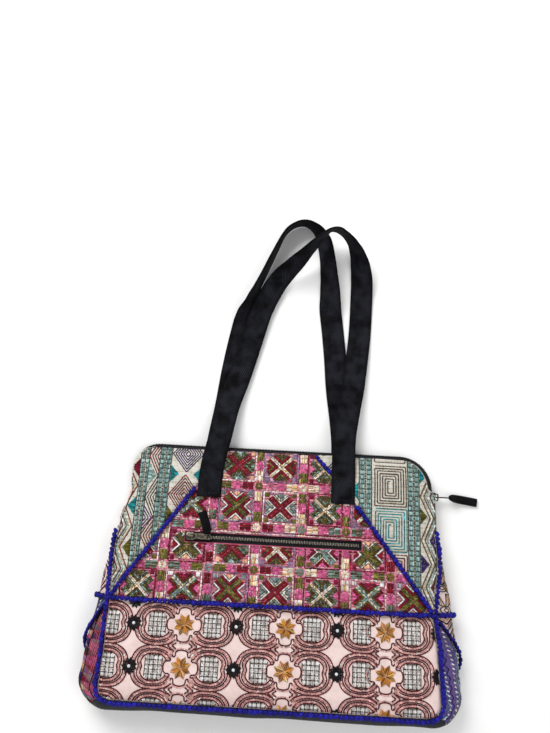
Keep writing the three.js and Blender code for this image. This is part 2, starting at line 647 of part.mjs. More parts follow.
// Slider of the top zip, at the right zip end, with its puller standing out sideways
const topZip = new THREE.Group();
topZip.position.set(section('foldRight', 120) - CHAIN_THICK / 2, TOP_SLIDER_Y, ZIP_Z);
const outward = new THREE.Matrix4().makeBasis(
  new THREE.Vector3(0, 1, 0),
  new THREE.Vector3(0, 0, 1),
  new THREE.Vector3(1, 0, 0),
);
topZip.quaternion.setFromRotationMatrix(outward);
bag.add(topZip);
add('top_slider', sliderGeometry(), BRASS, 0.4, 0.9, topZip);
const topPuller = add('top_puller', pullerGeometry(PULLER.topLength), BRASS, 0.4, 0.9, topZip);
topPuller.position.set(0, 0, pivotHeight());
topPuller.rotation.set(0, -Math.PI / 2, 0);
const tabX = section('foldRight', 120) - CHAIN_THICK / 2 + pivotHeight() + PULLER.topLength + 4 * GAP;
const topTab = [
  { x: tabX, y: TOP_SLIDER_Y, z: ZIP_Z, roll: 60 },
  { x: tabX + 4.5, y: 98, z: 7, roll: 24 },
  { x: tabX + 12, y: 97.2, z: 4.2, roll: 4 },
  { x: tabX + TAB.length, y: 94.6, z: 2.2, roll: 0 },
];
add('top_pull_tab', ribbon(topTab, TAB.width, TAB.thick, 8), BLACK);

// Pocket zip in the slot of the front
const pocketRows = (half, count) => spread(POCKET_Y + half, POCKET_Y - half, count);
const tapeLift = -CLOTH - GAP - 0.15;
const tapeOptions = { lift: tapeLift, thick: TAPE };
const tapeFrom = POCKET_LEFT - 5;
const tapeTo = POCKET_RIGHT + 5;
const tapeRows = pocketRows(9, 2);
add('pocket_tape', panel(frontPoint, tapeRows, () => tapeFrom, () => tapeTo, 10, tapeOptions), BLACK);
const chainFrom = POCKET_SLIDER_X + SLIDER.length / 2 + GAP;
const chainLift = tapeLift + GAP + CHAIN_THICK;
const chainOptions = { lift: chainLift, thick: CHAIN_THICK };
const chainTo = POCKET_RIGHT - 2;
const chainRows = pocketRows(halfChain, 1);
const pocketChain = panel(frontPoint, chainRows, () => chainFrom, () => chainTo, 10, chainOptions);
add('pocket_chain', pocketChain, BRASS, 0.45, 0.9);
const pocketZip = new THREE.Group();
const pocketNormal = surfaceNormal(frontPoint, POCKET_SLIDER_X, POCKET_Y, 3, 3);
const seat = frontPoint(POCKET_SLIDER_X, POCKET_Y);
seat.addScaledVector(pocketNormal, chainLift - CHAIN_THICK / 2);
pocketZip.position.copy(seat);
pocketZip.rotation.set(-Math.atan2(pocketNormal.y, pocketNormal.z), 0, 0);
bag.add(pocketZip);
add('pocket_slider', sliderGeometry(), BRASS, 0.4, 0.9, pocketZip);
const pocketPuller = add('pocket_puller', pullerGeometry(PULLER.pocketLength), BRASS, 0.4, 0.9, pocketZip);
pocketPuller.position.set(0, 0, pivotHeight());
const pocketTab = [
  { x: 18, y: PULLER.width / 2 + 2 * GAP, z: pivotHeight(), roll: 0 },
  { x: 17.8, y: 8, z: pivotHeight(), roll: 0 },
  { x: 15.4, y: 16, z: pivotHeight() - 0.4, roll: 0 },
  { x: 11, y: 27, z: pivotHeight() - 0.8, roll: 0 },
];
add('pocket_pull_tab', ribbon(pocketTab, TAB.width, TAB.thick, 6), BLACK, 0.9, 0, pocketZip);

// Straps
add('strap_front', webbing(STRAP_FRONT, 90), BLACK);
add('strap_back', webbing(STRAP_BACK, 78), BLACK);

export default bag;
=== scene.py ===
import json
import math
import random

import bmesh
import bpy
import numpy as np
from mathutils import Matrix, Vector
from mathutils.bvhtree import BVHTree

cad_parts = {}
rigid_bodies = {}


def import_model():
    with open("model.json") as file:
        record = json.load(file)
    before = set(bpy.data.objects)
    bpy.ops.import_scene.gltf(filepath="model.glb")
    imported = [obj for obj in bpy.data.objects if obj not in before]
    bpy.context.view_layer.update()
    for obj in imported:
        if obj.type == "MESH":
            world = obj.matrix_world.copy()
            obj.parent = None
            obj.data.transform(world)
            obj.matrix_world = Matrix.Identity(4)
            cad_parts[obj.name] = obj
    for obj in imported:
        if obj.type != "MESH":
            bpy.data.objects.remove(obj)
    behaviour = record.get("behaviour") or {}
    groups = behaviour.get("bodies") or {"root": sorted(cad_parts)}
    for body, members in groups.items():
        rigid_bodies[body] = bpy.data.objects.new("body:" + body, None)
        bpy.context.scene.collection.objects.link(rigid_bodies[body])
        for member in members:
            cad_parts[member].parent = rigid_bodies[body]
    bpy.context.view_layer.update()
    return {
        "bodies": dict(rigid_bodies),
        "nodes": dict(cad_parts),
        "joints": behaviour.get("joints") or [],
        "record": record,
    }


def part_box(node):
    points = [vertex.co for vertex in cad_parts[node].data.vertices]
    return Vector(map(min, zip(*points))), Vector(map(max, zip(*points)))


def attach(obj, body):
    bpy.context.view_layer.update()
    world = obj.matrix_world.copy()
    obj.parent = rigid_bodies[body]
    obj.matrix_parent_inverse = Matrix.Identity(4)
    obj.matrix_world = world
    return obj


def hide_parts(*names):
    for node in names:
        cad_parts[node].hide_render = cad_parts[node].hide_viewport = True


# An embroidered patchwork convertible backpack lying on its back, with its two straps laid out.
# Charts and sizes are in millimetres, meshes in metres.

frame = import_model()
nodes = frame["nodes"]
scene = bpy.context.scene
mm = 0.001
dice = random.Random(11)
print("frame:", len(nodes), "solids")

# camera and light

camera = {
    "place": (3.523, 65.754, 783.009),
    "right": (0.99854, 0.05382, -0.00528),
    "up": (-0.05128, 0.97338, 0.22339),
    "back": (0.01716, -0.22279, 0.97472),
    "lens": 32.4,
    "sensor": 36,
    "nearest": 10,
}
lens = bpy.data.cameras.new("camera")
lens.lens = camera["lens"]
lens.sensor_width = camera["sensor"]
lens.clip_start = camera["nearest"] * mm
eye = bpy.data.objects.new("camera", lens)
columns = [camera["right"], camera["up"], camera["back"], [place * mm for place in camera["place"]]]
eye.matrix_world = Matrix([[column[row] for column in columns] for row in range(3)] + [[0, 0, 0, 1]])
scene.collection.objects.link(eye)
scene.camera = eye
scene.view_settings.view_transform = "Standard"

studio = {  # lamp places and sizes in metres
    "sky": 0.5,
    "soft": [
        {"name": "key", "place": (-0.75, 1.4, 1.2), "size": 1.1, "power": 31},
        {"name": "fill", "place": (1.2, -0.5, 1.6), "size": 1.4, "power": 9},
        {"name": "low", "place": (0.2, -1.5, 0.9), "size": 1.2, "power": 3},
    ],
}
world = bpy.data.worlds.new("studio")
scene.world = world
world.use_nodes = True
world.node_tree.nodes["Background"].inputs["Color"].default_value = (1, 1, 1, 1)
world.node_tree.nodes["Background"].inputs["Strength"].default_value = studio["sky"]
for row in studio["soft"]:
    lamp = bpy.data.lights.new(row["name"], "AREA")
    lamp.size = row["size"]
    lamp.energy = row["power"]
    holder = bpy.data.objects.new(row["name"], lamp)
    holder.location = row["place"]
    holder.rotation_euler = (-Vector(row["place"])).to_track_quat("-Z", "Y").to_euler()
    scene.collection.objects.link(holder)
print("camera and light set")

# materials


def linear(text):
    parts = [int(text[i:i + 2], 16) / 255 for i in (1, 3, 5)]
    return tuple(c / 12.92 if c < 0.04045 else ((c + 0.055) / 1.055) ** 2.4 for c in parts) + (1.0,)


def addNode(tree, kind, settings=None, inputs=None, links=None, stops=None):
    made = tree.nodes.new("ShaderNode" + kind)
    for name, value in (settings or {}).items():
        setattr(made, name, value)
    for name, value in (inputs or {}).items():
        made.inputs[name].default_value = value
    for name, source in (links or {}).items():
        tree.links.new(source, made.inputs[name])
    for k, (place, dye) in enumerate(stops or []):  # a ramp's colours
        made.color_ramp.elements[k].position = place
        made.color_ramp.elements[k].color = linear(dye)
    return made


def newMaterial(name, inputs):
    material = bpy.data.materials.new(name)
    material.use_nodes = True
    tree = material.node_tree
    tree.nodes.clear()
    shader = addNode(tree, "BsdfPrincipled", inputs=inputs)
    addNode(tree, "OutputMaterial", links={"Surface": shader.outputs[0]})
    return material, tree, shader


def bandScale(periodMm):
    return math.pi / 10 / (periodMm * mm)  # the Wave node's own period is pi / 10 at scale 1


def patchScale(sizeMm):
    return 1 / (sizeMm * mm)  # the Noise node's patches are about 1 across at scale 1


def wovenCotton(name, light, dark, threadMm, patchMm, rough, relief):
    # plain woven cotton or linen: matt, a faint check of threads, slubs and uneven dye
    plain = {"Roughness": rough, "Sheen Weight": 0.1, "Sheen Roughness": 0.5, "Specular IOR Level": 0.2}
    slubMm, checkShare, slubShare = 1.11, 0.35, 0.5
    material, tree, shader = newMaterial(name, plain)
    place = addNode(tree, "TexCoord").outputs["Object"]
    # turned halfway, so that level and upright cloth both show the warp, and the period brought back
    turn = {"Rotation": (0, math.radians(45), 0)}
    turned = addNode(tree, "Mapping", inputs=turn, links={"Vector": place}).outputs[0]
    threads = {"Scale": bandScale(threadMm), "Distortion": 0.6, "Detail": 1.0}
    weft = addNode(tree, "TexWave", {"bands_direction": "Y"}, threads, {"Vector": place})
    threads["Scale"] = bandScale(threadMm * 0.71)
    warp = addNode(tree, "TexWave", {"bands_direction": "X"}, threads, {"Vector": turned})
    crossed = {0: weft.outputs["Fac"], 1: warp.outputs["Fac"]}
    check = addNode(tree, "Math", {"operation": "MULTIPLY"}, links=crossed).outputs[0]
    patches = {"Scale": patchScale(patchMm), "Detail": 4.0}
    uneven = addNode(tree, "TexNoise", inputs=patches, links={"Vector": place}).outputs["Fac"]
    lumps = {"Scale": patchScale(slubMm), "Detail": 2.0}
    slub = addNode(tree, "TexNoise", inputs=lumps, links={"Vector": place}).outputs["Fac"]
    mixed = addNode(tree, "Math", {"operation": "MULTIPLY_ADD"}, {1: checkShare}, {0: check, 2: uneven})
    tone = addNode(tree, "ValToRGB", links={"Fac": mixed.outputs[0]}, stops=[(0.3, dark), (0.85, light)])
    height = addNode(tree, "Math", {"operation": "MULTIPLY_ADD"}, {1: slubShare}, {0: slub, 2: check})
    raised = {"Strength": relief, "Distance": 0.4 * mm}
    bump = addNode(tree, "Bump", inputs=raised, links={"Height": height.outputs[0]})
    tree.links.new(tone.outputs["Color"], shader.inputs["Base Color"])
    tree.links.new(bump.outputs[0], shader.inputs["Normal"])
    return material


def stitchingFloss(name, rough, gloss, strandMm):
    # stranded embroidery cotton: soft lustre, fibres along each stitch, colour carried by the stitch together
    # with its painted shade and painted highlights
    material, tree, shader = newMaterial(name, {"Roughness": rough, "Specular IOR Level": gloss})
    dye = addNode(tree, "Attribute", {"attribute_name": "dye"}).outputs["Color"]
    place = addNode(tree, "Attribute", {"attribute_name": "fibre"}).outputs["Vector"]
    twist = {"Scale": bandScale(strandMm), "Distortion": 1.0, "Detail": 1.0}
    bands = addNode(tree, "TexWave", {"bands_direction": "DIAGONAL"}, twist, {"Vector": place})
    strand = bands.outputs["Fac"]
    shade = addNode(tree, "MapRange", inputs={"To Min": 0.82, "To Max": 1.08}, links={"Value": strand})
    tinted = {0: dye, "Scale": shade.outputs[0]}
    lit = addNode(tree, "VectorMath", {"operation": "SCALE"}, links=tinted)
    raised = {"Strength": 0.5, "Distance": 0.2 * mm}
    bump = addNode(tree, "Bump", inputs=raised, links={"Height": strand})
    tree.links.new(lit.outputs[0], shader.inputs["Base Color"])
    tree.links.new(bump.outputs[0], shader.inputs["Normal"])
    return material


def twillWebbing(name, light, dark, ribMm):
    # black cotton twill: matt, fine slanting ribs, lighter on the raised ribs, faded a little in patches, and
    # darker along the edges where they fold over, which is painted shade
    plain = {"Roughness": 0.85, "Sheen Weight": 0.02, "Sheen Roughness": 0.45, "Specular IOR Level": 0.08}
    wornMm, threadShare = 16.67, 0.4
    material, tree, shader = newMaterial(name, plain)
    place = addNode(tree, "Attribute", {"attribute_name": "weave"}).outputs["Vector"]
    slant = {"Scale": bandScale(ribMm), "Distortion": 0.4, "Detail": 1.0}
    rib = addNode(tree, "TexWave", {"bands_direction": "DIAGONAL"}, slant, {"Vector": place}).outputs["Fac"]
    upright = {"Scale": bandScale(ribMm * 0.6), "Distortion": 0.3, "Detail": 1.0}
    thread = addNode(tree, "TexWave", {"bands_direction": "X"}, upright, {"Vector": place}).outputs["Fac"]
    patches = {"Scale": patchScale(wornMm), "Detail": 5.0}
    worn = addNode(tree, "TexNoise", inputs=patches, links={"Vector": place}).outputs["Fac"]
    faded = addNode(tree, "MapRange", inputs={"From Min": 0.35, "From Max": 0.65}, links={"Value": worn})
    split = addNode(tree, "SeparateXYZ", links={"Vector": place})
    away = addNode(tree, "Math", {"operation": "ABSOLUTE"}, links={0: split.outputs["X"]})
    # painted shade: darker towards the edges, where the strap folds over
    folded = {"From Min": 8.5 * mm, "From Max": 13 * mm, "To Min": 1.0, "To Max": 0.35}
    edge = addNode(tree, "MapRange", inputs=folded, links={"Value": away.outputs[0]})
    fadeAndEdgeLinks = {0: faded.outputs[0], 1: edge.outputs[0]}
    fadeAndEdgeShade = addNode(tree, "Math", {"operation": "MULTIPLY"}, links=fadeAndEdgeLinks)
    mixed = addNode(tree, "Math", {"operation": "MULTIPLY"}, links={0: rib, 1: fadeAndEdgeShade.outputs[0]})
    tone = addNode(tree, "ValToRGB", links={"Fac": mixed.outputs[0]}, stops=[(0, dark), (0.8, light)])
    height = addNode(tree, "Math", {"operation": "MULTIPLY_ADD"}, {1: threadShare}, {0: thread, 2: rib})
    raised = {"Strength": 0.45, "Distance": 0.4 * mm}
    bump = addNode(tree, "Bump", inputs=raised, links={"Height": height.outputs[0]})
    tree.links.new(tone.outputs["Color"], shader.inputs["Base Color"])
    tree.links.new(bump.outputs[0], shader.inputs["Normal"])
    return material


def twistedYarn(name, light, dark, plyMm):
    # plaited cotton yarn: darker in the grooves between plies and at the sides of each lump, which is painted
    # shade; plies winding round each lump, no two lumps quite alike
    material, tree, shader = newMaterial(name, {"Roughness": 0.7, "Specular IOR Level": 0.15})
    dye = addNode(tree, "Attribute", {"attribute_name": "dye"})
    place = addNode(tree, "Attribute", {"attribute_name": "fibre"}).outputs["Vector"]
    twist = {"Scale": bandScale(plyMm), "Distortion": 1.5, "Detail": 1.0}
    ply = addNode(tree, "TexWave", {"bands_direction": "DIAGONAL"}, twist, {"Vector": place}).outputs["Fac"]
    # painted shade in the grooves between the plies
    tone = addNode(tree, "ValToRGB", links={"Fac": ply}, stops=[(0, dark), (0.8, light)])
    shaded = {0: tone.outputs["Color"], 1: dye.outputs["Color"]}
    mixed = addNode(tree, "VectorMath", {"operation": "MULTIPLY"}, links=shaded)
    raised = {"Strength": 0.6, "Distance": 0.4 * mm}
    bump = addNode(tree, "Bump", inputs=raised, links={"Height": ply})
    tree.links.new(mixed.outputs[0], shader.inputs["Base Color"])
    tree.links.new(bump.outputs[0], shader.inputs["Normal"])
    return material


def antiqueBrass(name, light, dark, wearMm=2.38):
    # cast brass with a dark oxidised finish, rubbed brighter in patches
    material, tree, shader = newMaterial(name, {"Metallic": 1.0})
    place = addNode(tree, "TexCoord").outputs["Object"]
    patches = {"Scale": patchScale(wearMm), "Detail": 6.0, "Roughness": 0.6}
    wear = addNode(tree, "TexNoise", inputs=patches, links={"Vector": place}).outputs["Fac"]
    tone = addNode(tree, "ValToRGB", links={"Fac": wear}, stops=[(0.35, dark), (0.72, light)])
    rough = addNode(tree, "MapRange", inputs={"To Min": 0.5, "To Max": 0.3}, links={"Value": wear})
    raised = {"Strength": 0.15, "Distance": 0.2 * mm}
    bump = addNode(tree, "Bump", inputs=raised, links={"Height": wear})
    tree.links.new(tone.outputs["Color"], shader.inputs["Base Color"])
    tree.links.new(rough.outputs[0], shader.inputs["Roughness"])
    tree.links.new(bump.outputs[0], shader.inputs["Normal"])
    return material


def cloudedSurface(name, light, dark, cloudMm, plain):
    # one colour that drifts a little: the clouded body of opaque glass, or paint with hardly any unevenness
    material, tree, shader = newMaterial(name, plain)
    place = addNode(tree, "TexCoord").outputs["Object"]
    cloud = addNode(tree, "TexNoise", inputs={"Scale": patchScale(cloudMm)}, links={"Vector": place})
    tone = addNode(tree, "ValToRGB", links={"Fac": cloud.outputs["Fac"]}, stops=[(0, dark), (1, light)])
    tree.links.new(tone.outputs["Color"], shader.inputs["Base Color"])
    return material


# threads are about 0.3 mm in the cloth and ribs 0.5 mm in the webbing, drawn coarser here so that they show
linenWeave = {"threadMm": 1.1, "patchMm": 7, "rough": 0.88, "relief": 0.6}
plainWeave = {"threadMm": 0.9, "patchMm": 12, "rough": 0.85, "relief": 0.5}
backWeave = {"threadMm": 1.0, "patchMm": 15, "rough": 0.85, "relief": 0.5}
pinkCotton = wovenCotton("pinkCotton", "#c4607c", "#8f3d57", threadMm=0.9, patchMm=6, rough=0.8, relief=0.4)
greigeLinen = wovenCotton("greigeLinen", "#dedad0", "#bdb8ac", **linenWeave)
creamCotton = wovenCotton("creamCotton", "#f6dfdb", "#dbc0ba", **plainWeave)
purpleCotton = wovenCotton("purpleCotton", "#6a5a9c", "#473a74", **plainWeave)
blackCotton = wovenCotton("blackCotton", "#1f2026", "#121318", **backWeave)
zipTape = wovenCotton("zipTape", "#1b1b1f", "#0e0e11", threadMm=0.8, patchMm=6, rough=0.8, relief=0.6)
flossCotton = stitchingFloss("flossCotton", rough=0.5, gloss=0.2, strandMm=0.5)
strapTwill = twillWebbing("strapTwill", "#2a2b33", "#060608", ribMm=1.4)
tabTwill = twillWebbing("tabTwill", "#1b1b1e", "#040405", ribMm=1.2)
royalYarn = twistedYarn("royalYarn", "#2824ac", "#08073e", plyMm=1.1)
agedBrass = antiqueBrass("agedBrass", "#948d7e", "#35302a")
darkBrass = antiqueBrass("darkBrass", "#4c473d", "#14120f")
brightBrass = antiqueBrass("brightBrass", "#dcd6c9", "#857e71")
beadGloss = {"Roughness": 0.18, "IOR": 1.5, "Coat Weight": 0.4}  # pressed glass: a hard gloss
pearlBead = cloudedSurface("pearlBead", "#f4f7f8", "#aab4bb", cloudMm=1.667, plain=beadGloss)
paleFloor = cloudedSurface("paleFloor", "#ffffff", "#f9f9f8", cloudMm=25, plain={"Roughness": 0.9})
print("materials made")

# mesh helpers


def pieceName(node):
    words = node.split("_")
    return words[0] + "".join(word.capitalize() for word in words[1:])


def objectFrom(name, mesh, material, node=None, body="bag"):
    made = bpy.data.objects.new(name, mesh)
    scene.collection.objects.link(made)
    made.data.materials.append(material)
    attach(made, body)
    if node:
        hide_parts(node)
    return made


def meshFrom(bm, name):
    mesh = bpy.data.meshes.new(name)
    bm.to_mesh(mesh)
    bm.free()
    mesh.shade_smooth()
    return mesh


def mergedCopy(node):
    bm = bmesh.new()
    bm.from_mesh(nodes[node].data)
    bmesh.ops.remove_doubles(bm, verts=bm.verts, dist=0.002 * mm)
    bm.normal_update()
    return bm


def treeOf(names):
    points = []
    faces = []
    for name in names:
        mesh = nodes[name].data
        start = len(points)
        points += [v.co.copy() for v in mesh.vertices]
        faces += [[start + i for i in p.vertices] for p in mesh.polygons]
    return BVHTree.FromPolygons(points, faces)


def layersFrom(ring):
    seen = set()
    layers = []
    while ring:
        layers.append(sorted(ring, key=lambda v: v.index))
        seen |= ring
        ring = {e.other_vert(v) for v in ring for e in v.link_edges} - seen
    return layers


def ringsOf(node):
    # the rings of a swept solid from one end cap to the other, in millimetres:
    # a cap is a flat patch from which every layer of neighbours has as many points
    flat = 0.02
    bm = mergedCopy(node)
    bm.verts.index_update()
    seen = set()
    best = []
    for first in bm.faces:
        if first in seen:
            continue
        seen.add(first)
        stack = [first]
        patch = set(first.verts)
        while stack:
            face = stack.pop()
            for other in {f for e in face.edges for f in e.link_faces} - seen:
                if face.normal.angle(other.normal) < flat:
                    seen.add(other)
                    stack.append(other)
                    patch |= set(other.verts)
        layers = layersFrom(patch)
        if len(layers) > len(best) and len({len(k) for k in layers}) == 1:
            best = layers
    rings = [np.array([v.co / mm for v in layer]) for layer in best]
    bm.free()
    return rings


def middleLine(node):
    return np.array([ring.mean(axis=0) for ring in ringsOf(node)])


def unit(rows):
    return rows / np.linalg.norm(rows, axis=1)[:, None]


def walkOf(points):
    # how far along a line each of its points is
    return np.concatenate([[0], np.cumsum(np.linalg.norm(np.diff(points, axis=0), axis=1))])


def readAt(stops, marks, rows):
    # rows of numbers given at some marks, read at other stops
    return np.stack([np.interp(stops, marks, rows[:, k]) for k in range(rows.shape[1])], axis=1)


def resample(points, step):
    points = np.asarray(points, float)
    walk = walkOf(points)
    count = max(1, int(round(walk[-1] / step)))
    return readAt(np.linspace(0, walk[-1], count + 1), walk, points)


def ribbonFrames(node):
    # middle line, direction across, face normal and width along a flat ribbon
    middles = []
    acrosses = []
    for ring in ringsOf(node):
        near = np.argsort(np.linalg.norm(ring - ring[0], axis=1))
        across = ring[near[2:]].mean(axis=0) - ring[near[:2]].mean(axis=0)
        if acrosses and np.dot(across, acrosses[-1]) < 0:
            across = -across
        middles.append(ring.mean(axis=0))
        acrosses.append(across)
    middles = np.array(middles)
    width = np.linalg.norm(acrosses, axis=1).mean()
    acrosses = unit(np.array(acrosses))
    return [middles, acrosses, unit(np.cross(acrosses, np.gradient(middles, axis=0)))], width


def sweep(rings):
    # a closed skin over rings of points, by extruding the first ring's edges from place to place
    bm = bmesh.new()
    current = [bm.verts.new(p) for p in rings[0]]
    edges = bm.faces.new(current).edges[:]
    for ring in rings[1:]:
        grown = bmesh.ops.extrude_edge_only(bm, edges=edges)["geom"]
        partner = {tuple(g.co): g for g in grown if isinstance(g, bmesh.types.BMVert)}
        current = [partner[tuple(v.co)] for v in current]
        fresh = set(current)
        edges = [g for g in grown if isinstance(g, bmesh.types.BMEdge) and fresh.issuperset(g.verts)]
        for v, p in zip(current, ring):
            v.co = p
    bm.faces.new(current)
    bmesh.ops.recalc_face_normals(bm, faces=bm.faces)
    return bm


def scatter(name, template, places, dyes=None, paintedShades=None):
    # one joined mesh of many copies of a small template, each with its own 3 x 4 placing
    template.verts.index_update()
    points = np.array([v.co for v in template.verts])
    corners = [[v.index for v in f.verts] for f in template.faces]
    template.free()
    places = np.asarray(places)
    size = len(points)
    grown = np.einsum("nij,vj->nvi", places[:, :, :3], points) + places[:, None, :, 3]
    starts = range(0, len(places) * size, size)
    faces = [[start + i for i in face] for start in starts for face in corners]
    mesh = bpy.data.meshes.new(name)
    mesh.from_pydata((grown.reshape(-1, 3) * mm).tolist(), [], faces)
    # each copy's colours are scaled by paintedShades at each template point, the painted shade of its low
    # points
    if dyes is not None:
        layer = mesh.attributes.new("dye", "FLOAT_COLOR", "POINT")
        tinted = np.ones((len(places), size, 4), np.float32)
        tinted[:, :, :3] = np.asarray(dyes)[:, None] * np.asarray(paintedShades)[None, :, None]
        layer.data.foreach_set("color", tinted.ravel())
    scales = np.linalg.norm(places[:, :, :3], axis=1)
    layer = mesh.attributes.new("fibre", "FLOAT_VECTOR", "POINT")
    layer.data.foreach_set("vector", (points[None] * scales[:, None, :] * mm).astype(np.float32).ravel())
    mesh.shade_smooth()
    mesh.update()
    return mesh


# the height of the front, read from its solids and eased

quilt = {"gap": 5.7, "rise": 0.3, "nodes": ["front_corner_left", "front_corner_right"]}
front = {
    "nodes": ["front_centre", "front_corner_left", "front_corner_right", "front_band"],
    "spare": 6,
    "sample": 1.5,
    "easing": 10,
    "rippleRise": 0.55,
    "ripples": [  # a long and a short wave, each swaying from side to side
        {
            "gain": 1, "wide": 17, "sway": 1.3, "swayTall": 31,
            "tall": 21, "lean": 0.8, "leanWide": 27, "shift": 0.7,
        },
        {
            "gain": 0.5, "wide": 7.3, "sway": 2.1, "swayTall": 19,
            "tall": 8.7, "lean": 0, "leanWide": 1, "shift": 1.1,
        },
    ],
    "roll": {"rise": 0.9, "left": 161, "wide": 4, "from": 86, "tall": 10},  # the top left edge rolls over
    "slider": {"rise": 2.3, "right": 170, "wide": 5, "middle": 97, "tall": 9},  # and the right one lifts
    "pucker": {"rise": 0.8, "pitch": 11.0, "reach": 7.0, "sway": 1.7, "swayLong": 23},
    "seam": {"dip": 1.1, "reach": 3.5},
}
seamNodes = ["braid_left", "braid_right_upper", "braid_right_lower", "braid_cross"]


def alongSeam(x, y, line):
    # nearest distance from a seam, and how far along it
    best = np.full(x.shape, 1e9)
    reach = np.zeros(x.shape)
    walked = 0.0
    for a, b in zip(line[:-1, :2], line[1:, :2]):
        run = b - a
        size = np.linalg.norm(run)
        t = np.clip(((x - a[0]) * run[0] + (y - a[1]) * run[1]) / size ** 2, 0, 1)
        away = np.hypot(x - a[0] - t * run[0], y - a[1] - t * run[1])
        nearer = away < best
        best = np.where(nearer, away, best)
        reach = np.where(nearer, walked + t * size, reach)
        walked += size
    return best, reach


def ramp(value, start, over):
    return np.clip((value - start) / over, 0, 1)


def ninefold(grid, **edge):
    # a grid and its eight neighbours, as nine shifted grids
    padded = np.pad(grid, 1, **edge)
    tall, wide = grid.shape
    return [padded[a:a + tall, b:b + wide] for a in range(3) for b in range(3)]


def rippleOf(x, y, wave):
    level = x / wave["wide"] + wave["sway"] * np.sin(y / wave["swayTall"])
    upright = y / wave["tall"] + wave["lean"] * np.sin(x / wave["leanWide"]) + wave["shift"]
    return wave["gain"] * np.sin(level) * np.sin(upright)


def frontHeights():
    low = np.min([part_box(n)[0] for n in front["nodes"]], axis=0) / mm - front["spare"]
    high = np.max([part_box(n)[1] for n in front["nodes"]], axis=0) / mm + front["spare"]
    xs, ys = (np.arange(low[k], high[k], front["sample"]) for k in (0, 1))
    tree = treeOf(front["nodes"])
    above, down = 0.2, Vector((0, 0, -1))
    heights = np.full((len(ys), len(xs)), np.nan)
    for j, y in enumerate(ys):
        for i, x in enumerate(xs):
            hit = tree.ray_cast(Vector((x * mm, y * mm, above)), down)[0]
            if hit is not None:
                heights[j, i] = hit.z / mm
    while np.isnan(heights).any():  # grow outwards past the edges
        around = ninefold(heights, constant_values=np.nan)
        known = np.sum([~np.isnan(k) for k in around], axis=0)
        total = np.nansum(around, axis=0)
        heights = np.where(np.isnan(heights) & (known > 0), total / np.maximum(known, 1), heights)
    for _ in range(front["easing"]):
        heights = sum(ninefold(heights, mode="edge")) / 9
    x, y = np.meshgrid(xs, ys)
    heights += front["rippleRise"] * sum(rippleOf(x, y, wave) for wave in front["ripples"])
    roll, slider, pucker, seam = (front[k] for k in ("roll", "slider", "pucker", "seam"))
    heights += roll["rise"] * ramp(-x, roll["left"], roll["wide"]) * ramp(y, roll["from"], roll["tall"])
    nearSlider = np.exp(-((y - slider["middle"]) / slider["tall"]) ** 2)
    heights += slider["rise"] * ramp(x, slider["right"], slider["wide"]) * nearSlider
    for k, node in enumerate(seamNodes):
        away, reach = alongSeam(x, y, middleLine(node))
        sway = pucker["sway"] * np.sin(reach / pucker["swayLong"] + k)
        wave = np.sin(2 * math.pi * reach / pucker["pitch"] + sway)
        heights += pucker["rise"] * wave * np.exp(-(away / pucker["reach"]) ** 2)
        heights -= seam["dip"] * np.exp(-(away / seam["reach"]) ** 2)
    return xs, ys, heights


frontXs, frontYs, frontMap = frontHeights()


def frontZ(x, y):
    lastCell = 1.001  # stay inside the last cell of the map
    i = np.clip((np.asarray(x, float) - frontXs[0]) / front["sample"], 0, len(frontXs) - lastCell)
    j = np.clip((np.asarray(y, float) - frontYs[0]) / front["sample"], 0, len(frontYs) - lastCell)
    i0, j0 = i.astype(int), j.astype(int)
    a, b = i - i0, j - j0
    top = frontMap[j0, i0] * (1 - a) + frontMap[j0, i0 + 1] * a
    bottom = frontMap[j0 + 1, i0] * (1 - a) + frontMap[j0 + 1, i0 + 1] * a
    return top * (1 - b) + bottom * b


def frontPoint(x, y):
    return np.stack([x, y, frontZ(x, y)], axis=-1)


def quiltRise(node, y):
    if node not in quilt["nodes"]:
        return 0
    return quilt["rise"] * np.sin(2 * math.pi * y / quilt["gap"])


def spansOf(node, count, inset=0.05):
    # left and right edge of a panel at evenly spaced heights up the bag
    bm = mergedCopy(node)
    ends = np.array([[v.co / mm for v in e.verts] for e in bm.edges])
    bm.free()
    ys = np.linspace(ends[:, :, 1].min() + inset, ends[:, :, 1].max() - inset, count)
    spans = []
    for y in ys:
        a, b = ends[:, 0], ends[:, 1]
        hit = (a[:, 1] - y) * (b[:, 1] - y) <= 0
        a, b = a[hit], b[hit]
        rise = np.where(np.abs(b[:, 1] - a[:, 1]) < 1e-9, 1, b[:, 1] - a[:, 1])
        x = a[:, 0] + (b[:, 0] - a[:, 0]) * np.clip((y - a[:, 1]) / rise, 0, 1)
        spans.append((x.min(), x.max()))
    return ys, np.array(spans)


print("front height read:", frontMap.shape)

# cloth panels of the front

panelSizes = {
    "front_centre": {"columns": 120, "rows": 74, "cloth": pinkCotton, "slot": "pink_cotton"},
    "front_corner_left": {"columns": 44, "rows": 66, "cloth": greigeLinen, "slot": "linen"},
    "front_corner_right": {"columns": 50, "rows": 66, "cloth": greigeLinen, "slot": "linen"},
    "front_band": {"columns": 130, "rows": 44, "cloth": creamCotton, "slot": "band_cotton"},
}
clothWall = {
    "levels": 140,
    "thick": 2.0,
    "edgeDip": 0.9,
    "edgeReach": 1.6,
    "overZip": {"by": 1.2, "from": 120, "over": 15},
    "overLeftZip": {"by": 4.6, "from": 84, "over": 14},
    "overLeftSide": {"by": 1.0, "from": 42, "to": 98, "over": 14},
    "overSlider": [(50, 178), (58, 182.4), (78, 182.2), (99, 181.2), (106, 174), (107, 0)],  # height, reach
}
pocketSlot = {"inEnd": 5.0, "inSide": 4.0, "turnIn": 2.4, "rim": 1}
tapeLow, tapeHigh = (np.array(c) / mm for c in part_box("pocket_tape"))
